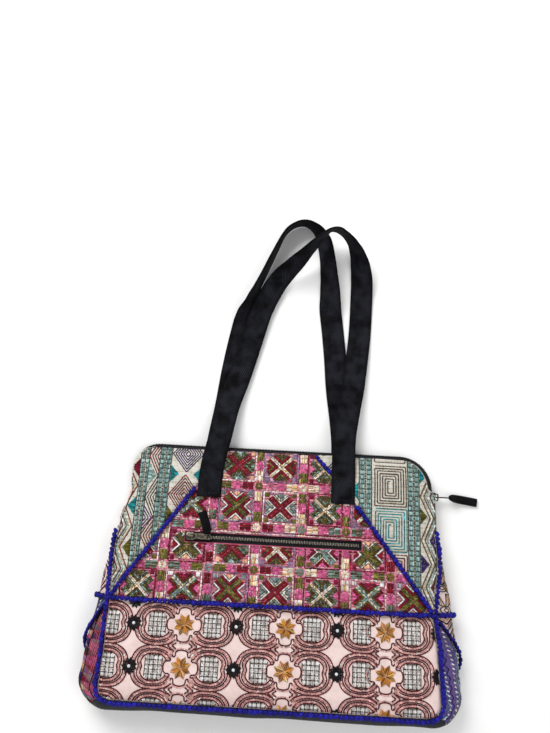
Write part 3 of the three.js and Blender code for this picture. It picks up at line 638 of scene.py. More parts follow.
slotLow = (tapeLow[0] + pocketSlot["inEnd"], tapeLow[1] + pocketSlot["inSide"])
slotHigh = (tapeHigh[0] - pocketSlot["inEnd"], tapeHigh[1] - pocketSlot["inSide"])
panelEdges = {}


def rising(ys, row):
    return row["by"] * ramp(ys, row["from"], row["over"])


def inSlot(place, spare=0):
    return all(slotLow[k] - spare < place[k] / mm < slotHigh[k] + spare for k in (0, 1))


def cutSlot(bm):
    # a slot for the pocket zip, with its edges turned in
    for axis in (0, 1):
        facing = Vector((1 - axis, axis, 0))
        for at in (slotLow[axis], slotHigh[axis]):
            everything = bm.verts[:] + bm.edges[:] + bm.faces[:]
            bmesh.ops.bisect_plane(bm, geom=everything, plane_co=facing * (at * mm), plane_no=facing)
    inside = [f for f in bm.faces if inSlot(f.calc_center_median())]
    bmesh.ops.delete(bm, geom=inside, context="FACES")
    edges = [e for e in bm.edges if e.is_boundary]
    rim = [e for e in edges if all(inSlot(v.co, pocketSlot["rim"]) for v in e.verts)]
    turned = bmesh.ops.extrude_edge_only(bm, edges=rim)["geom"]
    lowered = [g for g in turned if isinstance(g, bmesh.types.BMVert)]
    bmesh.ops.translate(bm, verts=lowered, vec=(0, 0, -pocketSlot["turnIn"] * mm))


def clothPanel(node, size):
    ys, spans = spansOf(node, clothWall["levels"])
    if node == "front_corner_left":  # here the cloth hides the zip
        side = clothWall["overLeftSide"]
        spans[:, 0] -= rising(ys, clothWall["overLeftZip"])
        spans[:, 0] -= rising(ys, side) * ramp(-ys, -side["to"], side["over"])
    if node == "front_corner_right":  # and here its slider
        spans[:, 1] = np.maximum(spans[:, 1], np.interp(ys, *zip(*clothWall["overSlider"])))
    if node != "front_band":
        ys = ys + rising(ys, clothWall["overZip"])
    panelEdges[node] = (ys, spans)
    bm = bmesh.new()
    bmesh.ops.create_grid(bm, x_segments=size["columns"], y_segments=size["rows"], size=0.5)
    shares = np.array([v.co for v in bm.verts]) + 0.5
    y = ys[0] + (ys[-1] - ys[0]) * shares[:, 1]
    left, right = np.interp(y, ys, spans[:, 0]), np.interp(y, ys, spans[:, 1])
    x = left + (right - left) * shares[:, 0]
    border = np.minimum(np.minimum(x - left, right - x), np.minimum(y - ys[0], ys[-1] - y))
    z = frontZ(x, y) - clothWall["edgeDip"] * np.exp(-border / clothWall["edgeReach"]) + quiltRise(node, y)
    for v, place in zip(bm.verts, np.stack([x, y, z], axis=1)):
        v.co = place * mm
    if node == "front_centre":
        cutSlot(bm)
    bmesh.ops.recalc_face_normals(bm, faces=bm.faces)
    if sum(f.normal.z for f in bm.faces) < 0:
        bmesh.ops.reverse_faces(bm, faces=bm.faces)
    skin = sum(f.calc_area() for f in bm.faces)
    name = pieceName(node)
    made = objectFrom(name, meshFrom(bm, name), size["cloth"], node)
    wall = made.modifiers.new("wall", "SOLIDIFY")
    wall.thickness = clothWall["thick"] * mm
    wall.offset = -1


for node, size in panelSizes.items():
    clothPanel(node, size)
print("front panels laid")

# back, base, gussets and zip tapes, smoothed from their solids with soft creases

softSizes = {
    "back_panel": {"cloth": blackCotton, "slot": "black_cotton", "rise": 0.0, "flat": (360, 266)},
    "base_panel": {"cloth": blackCotton, "slot": "black_cotton", "rise": 0.8, "flat": (382, 46)},
    "gusset_left_upper": {"cloth": creamCotton, "slot": "band_cotton", "rise": 0.7, "flat": (120, 30)},
    "gusset_left_front": {"cloth": pinkCotton, "slot": "pink_cotton", "rise": 0.7, "flat": (112, 54)},
    "gusset_left_back": {"cloth": purpleCotton, "slot": "linen", "rise": 0.7, "flat": (86, 44)},
    "gusset_right_upper": {"cloth": creamCotton, "slot": "band_cotton", "rise": 0.7, "flat": (120, 30)},
    "gusset_right_front": {"cloth": purpleCotton, "slot": "pink_cotton", "rise": 0.7, "flat": (112, 54)},
    "gusset_right_back": {"cloth": creamCotton, "slot": "linen", "rise": 0.7, "flat": (86, 44)},
    "zip_tape_front": {"cloth": zipTape, "slot": "black_cotton", "rise": 0.0, "flat": None},
    "zip_tape_back": {"cloth": zipTape, "slot": "black_cotton", "rise": 0.0, "flat": None},
    "pocket_tape": {"cloth": zipTape, "slot": "black_cotton", "rise": 0.0, "flat": None},
}
softEdge = {"joined": 0.6, "joinedShape": 2.0, "creased": 0.9, "levels": 2}
softFold = {
    "long": {"along": 9, "up": 6, "sway": 1.2, "swayWide": 21, "slowUp": 9, "slowAlong": 33, "shift": 0.6},
    "short": {"gain": 0.5, "wide": 11, "along": 5.5, "up": 5},
    "middle": 18,
    "reach": 16,
}
seamGap = {"reach": 2.0, "over": 0.4}
cornerTree = treeOf(["gusset_left_front", "gusset_right_front"])


def foldsAt(x, y, z):
    long, short = softFold["long"], softFold["short"]
    sway = long["sway"] * np.sin(x / long["swayWide"])
    fold = np.sin(y / long["along"] + z / long["up"] + sway)
    fold *= np.sin(z / long["slowUp"] + y / long["slowAlong"] + long["shift"])
    fold += short["gain"] * np.sin(x / short["wide"] + y / short["along"]) * np.sin(z / short["up"])
    return fold * np.clip(1 - np.abs(z - softFold["middle"]) / softFold["reach"], 0, 1)  # flat at both seams


def softCopy(node, size):
    name = pieceName(node)
    bm = mergedCopy(node)
    near = {"angle_face_threshold": softEdge["joined"], "angle_shape_threshold": softEdge["joinedShape"]}
    bmesh.ops.join_triangles(bm, faces=bm.faces, **near)
    crease = bm.edges.layers.float.new("crease_edge")
    for e in bm.edges:
        if e.calc_face_angle(0) > softEdge["creased"]:
            e[crease] = 1.0
    coarse = bpy.data.objects.new("coarse", meshFrom(bm, name))
    scene.collection.objects.link(coarse)
    fine = coarse.modifiers.new("fine", "SUBSURF")
    fine.levels = fine.render_levels = softEdge["levels"]
    ready = coarse.evaluated_get(bpy.context.evaluated_depsgraph_get())
    mesh = bpy.data.meshes.new_from_object(ready)
    mesh.name = name
    bpy.data.objects.remove(coarse)
    if size["rise"]:
        at = np.array([v.co for v in mesh.vertices]) / mm
        facing = np.array([v.normal for v in mesh.vertices])
        moved = at + facing * (size["rise"] * foldsAt(*at.T))[:, None]
        mesh.vertices.foreach_set("co", (moved * mm).ravel())
    if node == "base_panel":  # the base closes on the gussets beside it
        for v in mesh.vertices:
            spot = cornerTree.find_nearest(v.co, seamGap["reach"] * mm)[0]
            if spot is not None:
                v.co = spot + (spot - v.co).normalized() * seamGap["over"] * mm
    mesh.shade_smooth()
    made = objectFrom(name, mesh, size["cloth"], node)
    return mesh


softMeshes = {node: softCopy(node, size) for node, size in softSizes.items()}
print("back, base and gussets smoothed")

# straps

strap = {
    "restsOn": {"strap_front": "strap_back", "strap_back": "back_panel"},
    "columns": 11,
    "thick": 2.4,
    "step": 2,
    "easing": 3,
    "sewn": 30,
    "dent": 0.7,
    "dentReach": 2.2,
    "swell": 1.0,
    "swellAt": 7,
    "swellReach": 5.0,
}


def ribbonMesh(name, lines, width, thick, columns, square=10):
    # a flat ribbon with softly rounded edges, which carries its weave's own coordinates
    middles, acrosses, faces = lines
    widths, thicks = (np.ones((len(middles), 1)) * np.reshape(size, (-1, 1)) for size in (width, thick))
    share = np.sin(np.linspace(-math.pi / 2, math.pi / 2, columns))
    plump = np.sqrt(np.clip(1.02 - np.abs(share) ** square, 0.02, 1))
    across = np.concatenate([share, share[::-1]])
    up = np.concatenate([plump, -plump[::-1]])
    rings = middles[:, None] + across[None, :, None] * (widths * acrosses)[:, None] / 2
    rings = rings + up[None, :, None] * (thicks * faces)[:, None] / 2
    bm = sweep(rings * mm)
    walk = walkOf(middles)
    weave = bm.verts.layers.float_vector.new("weave")
    for k, v in enumerate(bm.verts):
        ring, line = divmod(k, len(across))
        v[weave] = (across[line] * widths.max() / 2 * mm, walk[min(ring, len(walk) - 1)] * mm, 0)
    return meshFrom(bm, name)


def strapPiece(node):
    lines, width = ribbonFrames(node)
    if lines[0][0][0] > lines[0][-1][0]:  # start on the left
        lines = [part[::-1] for part in lines]
    walk = walkOf(lines[0])
    stops = np.linspace(0, walk[-1], int(walk[-1] / strap["step"]))
    lines = [readAt(stops, walk, part) for part in lines]
    for _ in range(strap["easing"]):
        lines = [np.concatenate([p[:1], (p[:-2] + 2 * p[1:-1] + p[2:]) / 4, p[-1:]]) for p in lines]
    lines[1:] = [unit(part) for part in lines[1:]]
    if node == "strap_front":  # dented by its stitches, and swelling just past them
        ends = np.minimum(stops, stops[-1] - stops) - strap["sewn"]
        lift = strap["swell"] * np.exp(-((ends - strap["swellAt"]) / strap["swellReach"]) ** 2)
        lift -= strap["dent"] * np.exp(-(ends / strap["dentReach"]) ** 2)
        lines[0] = lines[0] + np.array([0, 0, 1.0]) * lift[:, None]
    name = pieceName(node)
    mesh = ribbonMesh(name, lines, width, strap["thick"], strap["columns"])
    made = objectFrom(name, mesh, strapTwill, node)
    print(name, "length", round(walk[-1]), "mm")
    return stops, lines, width


strapLines = {node: strapPiece(node) for node in strap["restsOn"]}

# plaited braid over the seams

braidPlait = {
    "pitch": 5.2,
    "long": 7.4,
    "wide": 5.0,
    "high": 4.6,
    "sides": 8,
    "rings": 6,
    "turn": 36,
    "turnSpread": (0.75, 1.25),
    "growth": (0.84, 1.1),
    "aside": (-0.3, 0.3),
    "lift": (-0.15, 0.2),
    "tint": (0.5, 1.2),
    # painted shade: each lump's sides and underside are darkened to this share
    "foot": 0.3,
    "footBelow": 0.2,
    "steep": 0.8,
}


def braidPiece(node):
    stops = resample(middleLine(node), braidPlait["pitch"])
    lump = bmesh.new()
    ball = {"u_segments": braidPlait["sides"], "v_segments": braidPlait["rings"], "radius": 0.5}
    bmesh.ops.create_uvsphere(lump, **ball)
    places = []
    dyes = []
    for p, t in zip(stops, unit(np.gradient(stops, axis=0))):
        onSide = "gusset" in node or "slant" in node or abs(t[2]) >= braidPlait["steep"]
        up = np.array([math.copysign(1, p[0]), 0, 0] if onSide else [0, 0, 1.0])
        side = np.cross(up, t)
        side /= np.linalg.norm(side)
        up = np.cross(t, side)
        turn = math.radians(braidPlait["turn"] * dice.uniform(*braidPlait["turnSpread"]))
        grow = dice.uniform(*braidPlait["growth"])
        lengthwise = (t * math.cos(turn) + side * math.sin(turn)) * braidPlait["long"] * grow
        sideways = (side * math.cos(turn) - t * math.sin(turn)) * braidPlait["wide"] * grow
        middle = p + side * dice.uniform(*braidPlait["aside"]) + up * dice.uniform(*braidPlait["lift"])
        places.append(np.column_stack([lengthwise, sideways, up * braidPlait["high"] * grow, middle]))
        dyes.append([dice.uniform(*braidPlait["tint"])] * 3)
    # painted shade at each lump's sides and underside
    paintedShades = [1.0 if v.co.z > braidPlait["footBelow"] else braidPlait["foot"] for v in lump.verts]
    name = pieceName(node)
    objectFrom(name, scatter(name, lump, places, dyes, paintedShades), royalYarn, node)


for node in sorted(n for n in nodes if n.startswith("braid_")):
    braidPiece(node)
print("braid plaited")

# zips

zipTooth = {"pitch": 3.6, "thick": 0.85, "reach": 3.0, "high": 1.9, "offset": 0.2, "bevel": 0.16}
zipCore = {"wide": 2.6, "high": 3.4, "inward": 1.3, "columns": 5}


def zipPiece(name, node, metal):
    lines = ribbonFrames(node)[0]
    stops = resample(lines[0], zipTooth["pitch"] / 2)
    walk = walkOf(lines[0])
    side, out = (readAt(np.linspace(0, walk[-1], len(stops)), walk, part) for part in lines[1:])
    ahead = unit(np.gradient(stops, axis=0))
    places = []
    for k in range(1, len(stops) - 1):
        sign = 1 if k % 2 else -1
        tooth = [ahead[k] * zipTooth["thick"], side[k] * zipTooth["reach"], out[k] * zipTooth["high"]]
        places.append(np.column_stack(tooth + [stops[k] + side[k] * zipTooth["offset"] * sign]))
    bm = bmesh.new()
    bmesh.ops.create_cube(bm, size=1.0)
    rounded = {"offset": zipTooth["bevel"], "affect": "EDGES", "segments": 1, "profile": 0.5, "material": -1}
    bmesh.ops.bevel(bm, geom=bm.edges[:], **rounded)
    mesh = scatter(name, bm, places)
    mesh.shade_flat()
    if node == "zip_chain":  # the tapes' own edge, filling in behind the teeth
        outward = np.where(np.sum(out * (stops - stops.mean(axis=0)), axis=1) > 0, 1, -1)
        inner = stops - out * (outward * zipCore["inward"])[:, None]
        size = [zipCore[k] for k in ("wide", "high", "columns")]
        core = ribbonMesh("topZipCore", [inner, side, out], *size)
        objectFrom("topZipCore", core, zipTape)
    objectFrom(name, mesh, metal, node)


zipPiece("topZipTeeth", "zip_chain", darkBrass)
zipPiece("pocketZipTeeth", "pocket_chain", brightBrass)

castEdge = {"flat": 0.02, "sharp": 0.4, "round": 0.35, "steps": 2}


def castPiece(node, body, metal):
    # a cast or stamped metal piece with its edges rounded over
    bm = mergedCopy(node)
    bmesh.ops.dissolve_limit(bm, angle_limit=castEdge["flat"], verts=bm.verts, edges=bm.edges)
    sharp = [e for e in bm.edges if e.calc_face_angle(0) > castEdge["sharp"]]
    rounded = {"offset": castEdge["round"] * mm, "segments": castEdge["steps"], "clamp_overlap": True}
    bmesh.ops.bevel(bm, geom=sharp, affect="EDGES", profile=0.5, material=-1, **rounded)
    name = pieceName(node)
    objectFrom(name, meshFrom(bm, name), metal, node, body)


castPiece("top_slider", "bag", darkBrass)
castPiece("pocket_slider", "bag", agedBrass)
castPiece("top_puller", "top_pull", darkBrass)
castPiece("pocket_puller", "pocket_pull", agedBrass)

pullTab = {
    "rings": 28,
    "columns": 11,
    "square": 4,
    "thick": 3.0,
    "foldThick": 5.0,
    "foldReach": 7.0,
    "foldWidth": 0.74,
    "neckReach": 1.6,
}


def tabPiece(node, body, hook):
    lines, width = ribbonFrames(node)
    ring = np.mean(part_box(hook), axis=0) / mm
    if np.linalg.norm(lines[0][0] - ring) > np.linalg.norm(lines[0][-1] - ring):  # start at the ring
        lines = [part[::-1] for part in lines]
    marks = np.arange(len(lines[0]))
    lines = [readAt(np.linspace(0, marks[-1], pullTab["rings"]), marks, part) for part in lines]
    walk = np.linalg.norm(lines[0] - lines[0][0], axis=1)
    folded = np.exp(-(walk / pullTab["foldReach"]) ** 2)  # thickest where it is folded over the ring
    thick = pullTab["thick"] + (pullTab["foldThick"] - pullTab["thick"]) * folded
    wide = width * (1 - (1 - pullTab["foldWidth"]) * np.exp(-(walk / pullTab["neckReach"]) ** 2))
    name = pieceName(node)
    mesh = ribbonMesh(name, lines, wide, thick, pullTab["columns"], pullTab["square"])
    objectFrom(name, mesh, tabTwill, node, body)


tabPiece("top_pull_tab", "top_pull", "top_puller")
tabPiece("pocket_pull_tab", "pocket_pull", "pocket_puller")
print("zips, sliders and pulls made")

# embroidery, charted in millimetres: x to the right, y down from the top seam as a minus number

topSeam = 142.0
flossHex = {
    "maroon": "#86101f", "crimson": "#7d0a30", "olive": "#5f5c14", "leaf": "#7f7c36", "teal": "#6f8a76",
    "sea": "#0d8f96", "cream": "#f2e3c3", "tan": "#c29c60", "white": "#f8f3ee", "peach": "#ecb491",
    "lilac": "#9b80a0", "moss": "#4c4a2a", "steel": "#7f9190", "pink": "#da7b98", "mauve": "#bb7b87",
    "rose": "#e2669b", "blush": "#f3d0cb", "wine": "#400913", "dusty": "#e3aca5", "ochre": "#d08a3c",
    "umber": "#8a4c16", "ink": "#0f0e12", "purple": "#3c2366", "brick": "#7c1624", "brown": "#574132",
    "drab": "#362f25", "mint": "#a0c0b8", "slate": "#323b38", "thread": "#202127", "rosy": "#ad4a58",
    "shell": "#f2b3ba", "jade": "#8bb0ad", "sage": "#7a9d9a", "pine": "#4a625c", "claret": "#52101d",
}
flossDyes = {name: linear(text) for name, text in flossHex.items()}
flossLook = {
    "tint": (0.5, 1.3),
    # a few stitches are brightened: painted highlights
    "glint": 0.1,
    "glintGain": 1.8,
    # painted light and shade in small patches, standing in for the cloth's undulation
    "patch": {
        "gain": 0.32, "mm": 1.7, "sway": 2.1, "swayTall": 2.3,
        "tall": 1.1, "lean": 1.7, "leanWide": 2.9,
    },
    "plump": (0.8, 1.2),
    "uneven": 0.1,
    "broken": 1.5,
    "shortest": 0.5,
    "samples": 9,
    # painted shade at the foot of each stitch, between the stitches
    "foot": 0.2,
}


def newCanvas(inside, surface, up=(0, 0, 1)):
    return {"rows": [], "inside": inside, "surface": surface, "up": np.array(up, float)}


def sew(canvas, a, b, dye, wide, high):
    # each stitch takes the dye a little differently at random; over that lie painted light and shade in
    # patches, standing in for the cloth's undulation, and a few stitches get a painted highlight
    name = dye if isinstance(dye, str) else dice.choice(dye)
    patch = flossLook["patch"]
    x, y = ((a[k] + b[k]) / 2 / patch["mm"] for k in (0, 1))
    shade = math.sin(x + patch["sway"] * math.sin(y / patch["swayTall"]))
    shade *= math.sin(patch["tall"] * y + patch["lean"] * math.sin(x / patch["leanWide"]))
    tint = dice.uniform(*flossLook["tint"]) * (1 + patch["gain"] * shade)
    # painted highlight
    if dice.random() < flossLook["glint"]:
        tint *= flossLook["glintGain"]
    color = [min(1, c * tint) for c in flossDyes[name][:3]]
    canvas["rows"].append((a[0], a[1], b[0], b[1], wide, high * dice.uniform(*flossLook["plump"]), *color))


def satin(canvas, outline, angle, dye, pitch, longest, wide, high):
    # side by side stitches across a shape
    along = np.array([math.cos(math.radians(angle)), math.sin(math.radians(angle))])
    across = np.array([-along[1], along[0]])
    outline = np.asarray(outline, float)
    flow, rank = outline @ along, outline @ across
    broken, uneven = flossLook["broken"], flossLook["uneven"]
    for t in np.arange(rank.min() + pitch / 2, rank.max(), pitch):
        ends = []
        for k in range(len(outline)):
            r0, r1 = rank[k - 1], rank[k]
            if (r0 <= t) != (r1 <= t):
                ends.append(flow[k - 1] + (flow[k] - flow[k - 1]) * (t - r0) / (r1 - r0))
        ends.sort()
        for s0, s1 in zip(ends[::2], ends[1::2]):
            if s1 - s0 < flossLook["shortest"]:
                continue
            stops = np.linspace(s0, s1, math.ceil((s1 - s0) / longest) + 1)
            stops[1:-1] += [dice.uniform(-broken, broken) for _ in stops[1:-1]]
            for a, b in zip(stops, stops[1:]):
                level = t + dice.uniform(-uneven, uneven)
                sew(canvas, along * a + across * level, along * b + across * level, dye, wide, high)


def run(canvas, points, dye, step, wide, high, cover=0.95, curve=False):
    # a line of stitches end to end, or with gaps where cover is less than 1
    points = np.asarray(points, float)
    pieces = [points] if curve else [points[k:k + 2] for k in range(len(points) - 1)]
    for line in [resample(piece, step) for piece in pieces]:
        for a, b in zip(line, line[1:]):
            rest = (b - a) * (1 - cover) / 2
            sew(canvas, a + rest, b - rest, dye, wide, high)


def boxOf(x0, y0, x1, y1):
    return [(x0, y0), (x1, y0), (x1, y1), (x0, y1)]


def turnedTo(x, y, cos, sin, points, wide=1, tall=1):
    return [(x + (u * cos - v * sin) * wide, y + (u * sin + v * cos) * tall) for u, v in points]


quarters = [(1, 0), (0, 1), (-1, 0), (0, -1)]


def stitchTemplate():
    # a plump little bar: the top is drawn in so that light runs along the stitch
    bm = bmesh.new()
    bmesh.ops.create_cube(bm, size=1.0)
    for v in bm.verts:
        v.co = (v.co.x * 0.8, v.co.y * 0.5, 0.55) if v.co.z > 0 else (v.co.x, v.co.y, -0.2)
    return bm


def finishCanvas(name, canvas):
    rows = np.array(canvas["rows"])
    shares = np.linspace(0, 1, flossLook["samples"])
    a, b = rows[:, 0:2], rows[:, 2:4]
    samples = a[:, None] + (b - a)[:, None] * shares[None, :, None]
    inside = canvas["inside"](samples[..., 0], samples[..., 1])
    length, best, last = (np.zeros(len(rows), int) for _ in range(3))
    for k in range(len(shares)):  # the longest stretch of each stitch that lies on the cloth
        length = np.where(inside[:, k], length + 1, 0)
        last = np.where(length > best, k, last)
        best = np.maximum(best, length)
    kept = (best > 2) & (np.linalg.norm(b - a, axis=1) > 0.3)  # too short a stitch is left out
    rows, best, last = rows[kept], best[kept], last[kept]
    a, b = rows[:, 0:2], rows[:, 2:4]
    start = a + (b - a) * shares[last - best + 1][:, None]
    end = a + (b - a) * shares[last][:, None]
    head, tail = canvas["surface"](*start.T), canvas["surface"](*end.T)
    middle = (head + tail) / 2
    crown = canvas["surface"](*((start + end) / 2).T)
    middle += np.maximum(0, ((crown - middle) @ canvas["up"]))[:, None] * canvas["up"]
    reach = tail - head
    ahead = reach / np.maximum(np.linalg.norm(reach, axis=1)[:, None], 1e-6)
    side = unit(np.cross(canvas["up"], ahead))
    up = np.cross(ahead, side)
    places = np.stack([reach, side * rows[:, 4:5], up * rows[:, 5:6], middle], axis=2)
    stitch = stitchTemplate()
    paintedShades = [1.0 if v.co.z > 0 else flossLook["foot"] for v in stitch.verts]  # painted shade: each stitch's foot is darkened, standing in for the shade between the stitches
    objectFrom(name, scatter(name, stitch, places, rows[:, 6:9], paintedShades), flossCotton)
    print(name, len(rows), "stitches")


def frontCanvas(node, margin, holes=(), topMargin=0.6):
    ys, spans = panelEdges[node]

    def inside(x, y):
        height = y + topSeam
        left = np.interp(height, ys, spans[:, 0]) + margin
        right = np.interp(height, ys, spans[:, 1]) - margin
        fits = (x > left) & (x < right) & (height > ys[0] + margin) & (height < ys[-1] - topMargin)
        for x0, y0, x1, y1 in holes:
            fits &= ~((x > x0) & (x < x1) & (height > y0) & (height < y1))
        return fits

    def surface(x, y):
        spot = frontPoint(x, y + topSeam)
        spot[..., 2] += quiltRise(node, y + topSeam)
        return spot

    return newCanvas(inside, surface)


# centre panel: satin ground, star squares and a lattice of blocks and rosettes

pocketLinesAndPaintedLight = {
    "clear": 0.8,
    "pastPull": 14,
    # the blush run just above the slot is a painted highlight on the welt's folded edge
    "rows": [(1.9, "blush", "wine"), (3.6, "crimson", "mauve")],  # how far out, the dye above, the dye below
    "above": {"step": 3.2, "wide": 1.5, "high": 1.6},
    "below": {"step": 3.2, "wide": 1.4, "high": 1.5},
}
clear = pocketLinesAndPaintedLight["clear"]
pocketHole = (slotLow[0] - clear, slotLow[1] - clear, slotHigh[0] + clear, slotHigh[1] + clear)
centre = frontCanvas("front_centre", 1.6, [pocketHole])
trellis = frontCanvas("front_centre", 1.6, [pocketHole])
starSize = {"wide": 19.2, "tall": 17.4, "leg": 25.0, "gap": 0.6, "first": 0.2, "square": (13.2, 18.4)}
starFloss = {
    "ground": {"pitch": 1.15, "longest": 6, "wide": 1.25, "high": 0.9},
    "arm": {"pitch": 1.0, "longest": 9, "wide": 1.6, "high": 1.9},
    "heart": {"pitch": 1.0, "longest": 9, "wide": 1.5, "high": 1.6},
    "frame": {"step": 4.5, "wide": 2.2, "high": 1.4, "cover": 1.0},
    # the dark line along each band: partly an outline, partly painted shade between the bands
    "outline": {"step": 4.2, "wide": 0.9, "high": 1.9},
}
starKinds = {
    "a": {
        "arm": ("maroon", 4.2), "ends": [("olive", 1.3), ("moss", 2.6), ("teal", 2.6)],
        "sides": [("olive", 1.3), ("teal", 2.6), ("moss", 2.4)], "heart": ("mint", "teal"),
        "frame": "blush", "corner": "peach", "ground": "mauve",
    },
    "b": {
        "arm": ("cream", 2.8), "ends": [("maroon", 4.2), ("olive", 2.4)],
        "sides": [("maroon", 4.2), ("olive", 2.2)],
        "heart": ("moss", "maroon"), "frame": "lilac", "corner": "lilac", "ground": "mauve",
    },
    "c": {
        "arm": ("steel", 3.4), "ends": [("olive", 1.8), ("maroon", 3.2)],
        "sides": [("olive", 1.8), ("maroon", 3.6)],
        "heart": ("crimson", "rose"), "frame": "blush", "corner": "white", "ground": "pink",
    },
    "d": {
        "arm": ("olive", 3.5), "ends": [("maroon", 3.8), ("white", 2.5)],
        "sides": [("maroon", 3.8), ("white", 2.7)],
        "heart": ("peach", "mauve"), "frame": "lilac", "corner": "steel", "ground": "mauve",
    },
    "e": {
        "arm": ("cream", 2.4), "ends": [("moss", 2.8), ("teal", 2.2), ("olive", 2.0)],
        "sides": [("teal", 2.8), ("olive", 2.2), ("teal", 1.8)], "heart": ("moss", "rose"),
        "frame": "crimson", "corner": "crimson", "ground": "pink",
    },
    "f": {
        "arm": ("teal", 4.4), "ends": [("cream", 1.8), ("maroon", 3.4)],
        "sides": [("white", 1.9), ("maroon", 3.6)],
        "heart": ("rose", "rose"), "frame": "wine", "corner": "olive", "ground": "pink",
    },
    "g": {
        "arm": ("olive", 3.8), "ends": [("teal", 2.0), ("cream", 2.4)],
        "sides": [("moss", 2.0), ("white", 2.7)],
        "heart": ("peach", "maroon"), "frame": "crimson", "corner": "crimson", "ground": "pink",
    },
    "h": {
        "arm": ("maroon", 4.4), "ends": [("cream", 2.0), ("steel", 3.0)],
        "sides": [("white", 2.2), ("steel", 3.0)],
        "heart": ("steel", "steel"), "frame": "blush", "corner": "olive", "ground": "mauve",
    },
}
blends = {  # odd skeins worked into one colour
    "maroon": ["maroon", "maroon", "maroon", "crimson", "brick"],
    "olive": ["olive", "olive", "olive", "leaf", "moss"],
    "teal": ["teal", "teal", "jade", "moss"],
    "steel": ["steel", "teal", "jade", "cream"],
    "cream": ["cream", "cream", "tan", "white"],
    "moss": ["moss", "moss", "olive", "teal"],
}
groundDyes = {
    "pink": ["pink", "pink", "pink", "rosy", "shell"],
    "mauve": ["mauve", "pink", "rosy", "lilac", "shell"],
}
starRows = [
    (-20, [(-94, "c"), (-44.5, "a"), (4, "b"), (54, "e")]),
    (-65.5, [(-144, "e"), (-94.5, "c"), (-45, "d"), (5, "h"), (55.5, "e"), (104, "b")]),
    (-111, [(-146, "h"), (-96, "g"), (-46, "a"), (3.5, "b"), (54, "f"), (104, "g"), (153, "a")]),
    (-155, [(-146, "e"), (-96, "c"), (-46.5, "d"), (3.5, "h"), (54, "e"), (104, "c"), (153, "d")]),
]


def star(canvas, x, y, kind):
    # arms in nested bands from the middle out to the corners, with a heart at each side
    wide, tall, leg = starSize["wide"], starSize["tall"], starSize["leg"]
    ground = boxOf(x - wide + 1, y - tall + 1, x + wide - 1, y + tall - 1)
    satin(canvas, ground, 0, groundDyes[kind["ground"]], **starFloss["ground"])
    frame = boxOf(x - wide, y - tall, x + wide, y + tall)
    run(canvas, frame + frame[:1], kind["frame"], **starFloss["frame"])
    for quarter, (cos, sin) in enumerate(quarters):

        def placed(points):
            return turnedTo(x, y, cos, sin, points, wide / 20, tall / 20)

        level = quarter % 2
        angle = 0 if level else 90
        a0 = starSize["first"]
        for dye, thick in [kind["arm"]] + kind["sides" if level else "ends"]:
            a1 = a0 + thick
            for mirror in (1, -1):
                inner, outer = mirror * (leg - a0) / 2, mirror * (leg - a1) / 2
                shape = placed([(0, a0), (inner, (leg + a0) / 2), (outer, (leg + a1) / 2), (0, a1)])
                satin(canvas, shape, angle, blends.get(dye, dye), **starFloss["arm"])
                # a dark wine line along each band's outer edge: partly an outline, partly painted shade in
                # the gap between the bands
                outline = placed([(0, a1 + 0.3), (outer, (leg + a1) / 2 + 0.3)])
                run(canvas, outline, "wine", **starFloss["outline"])
            a0 = a1 + starSize["gap"]
        side = (leg - a0) / 2 * 0.62
        foot = a0 + side
        heart = [(0, a0), (side, foot), (side, foot + 1.4), (side * 0.5, foot + 2.6), (0, foot + 1.2)]
        heart += [(-u, v) for u, v in heart[3:0:-1]]
        satin(canvas, placed(heart), angle, kind["heart"][level], **starFloss["heart"])
        near, far = starSize["square"]
        satin(canvas, placed(boxOf(near, near, far, far)), 90 - angle, kind["corner"], **starFloss["heart"])


lattice = {
    "half": 4.0,
    "edge": 5.1,
    "strip": 6.6,
    "reach": 178,
    "top": 3,
    "foot": -178,
    "groundTop": -3.4,
    "groundFoot": -174,
    "uprightLong": 5.6,
    "levelLong": 6.4,
    "levels": [-42.5, -88, -133],
    "uprights": [-170, -121, -70.5, -20.5, 29.5, 79, 128.5, 178],
    "levelDyes": [
        "olive rose maroon tan olive rose maroon olive olive rose maroon olive "
        "pink rose cream cream cream rose teal olive teal rose olive",
        "maroon rose teal cream teal rose olive lilac olive rose maroon cream "
        "maroon rose cream teal cream rose teal olive teal rose maroon",
        "olive rose teal cream teal rose olive steel olive rose maroon olive "
        "maroon rose cream teal cream rose teal cream teal rose olive",
    ],
    "uprightDyes": [
        "olive rose cream", "olive rose cream", "maroon rose teal", "cream rose olive",
        "olive rose cream", "cream rose olive", "maroon rose teal", "olive rose cream",
    ],
    "stripe": {
        "olive": "leaf", "maroon": "wine", "cream": "peach",
        "tan": "cream", "teal": "moss", "lilac": "steel",
    },
    "stripesAt": (-0.36, 0.36),
    "topLine": (-60, 45, -3.6),
}
latticeFloss = {
    "ground": {"pitch": 1.15, "longest": 6, "wide": 1.3, "high": 0.9},
    "block": {"pitch": 1.0, "longest": 7, "wide": 1.5, "high": 1.5},
    "petal": {"pitch": 0.95, "longest": 6, "wide": 1.15, "high": 1.6},
    "stripe": {"step": 3.2, "wide": 1.3, "high": 2.0},
    "rail": {"step": 3.5, "wide": 1.5, "high": 1.2},
    "topLine": {"step": 2.6, "wide": 0.9, "high": 1.4},
}


def rosette(canvas, x, y, dye, petals=6, reach=5.0):
    half, tip = reach * 0.4, reach * 0.2
    outline = [(0.3, 0), (reach * 0.5, half), (reach, tip), (reach, -tip), (reach * 0.5, -half)]
    for k in range(petals):
        turn = 2 * math.pi * k / petals + 0.26
        petal = turnedTo(x, y, math.cos(turn), math.sin(turn), outline)
        satin(canvas, petal, math.degrees(turn), dye, **latticeFloss["petal"])


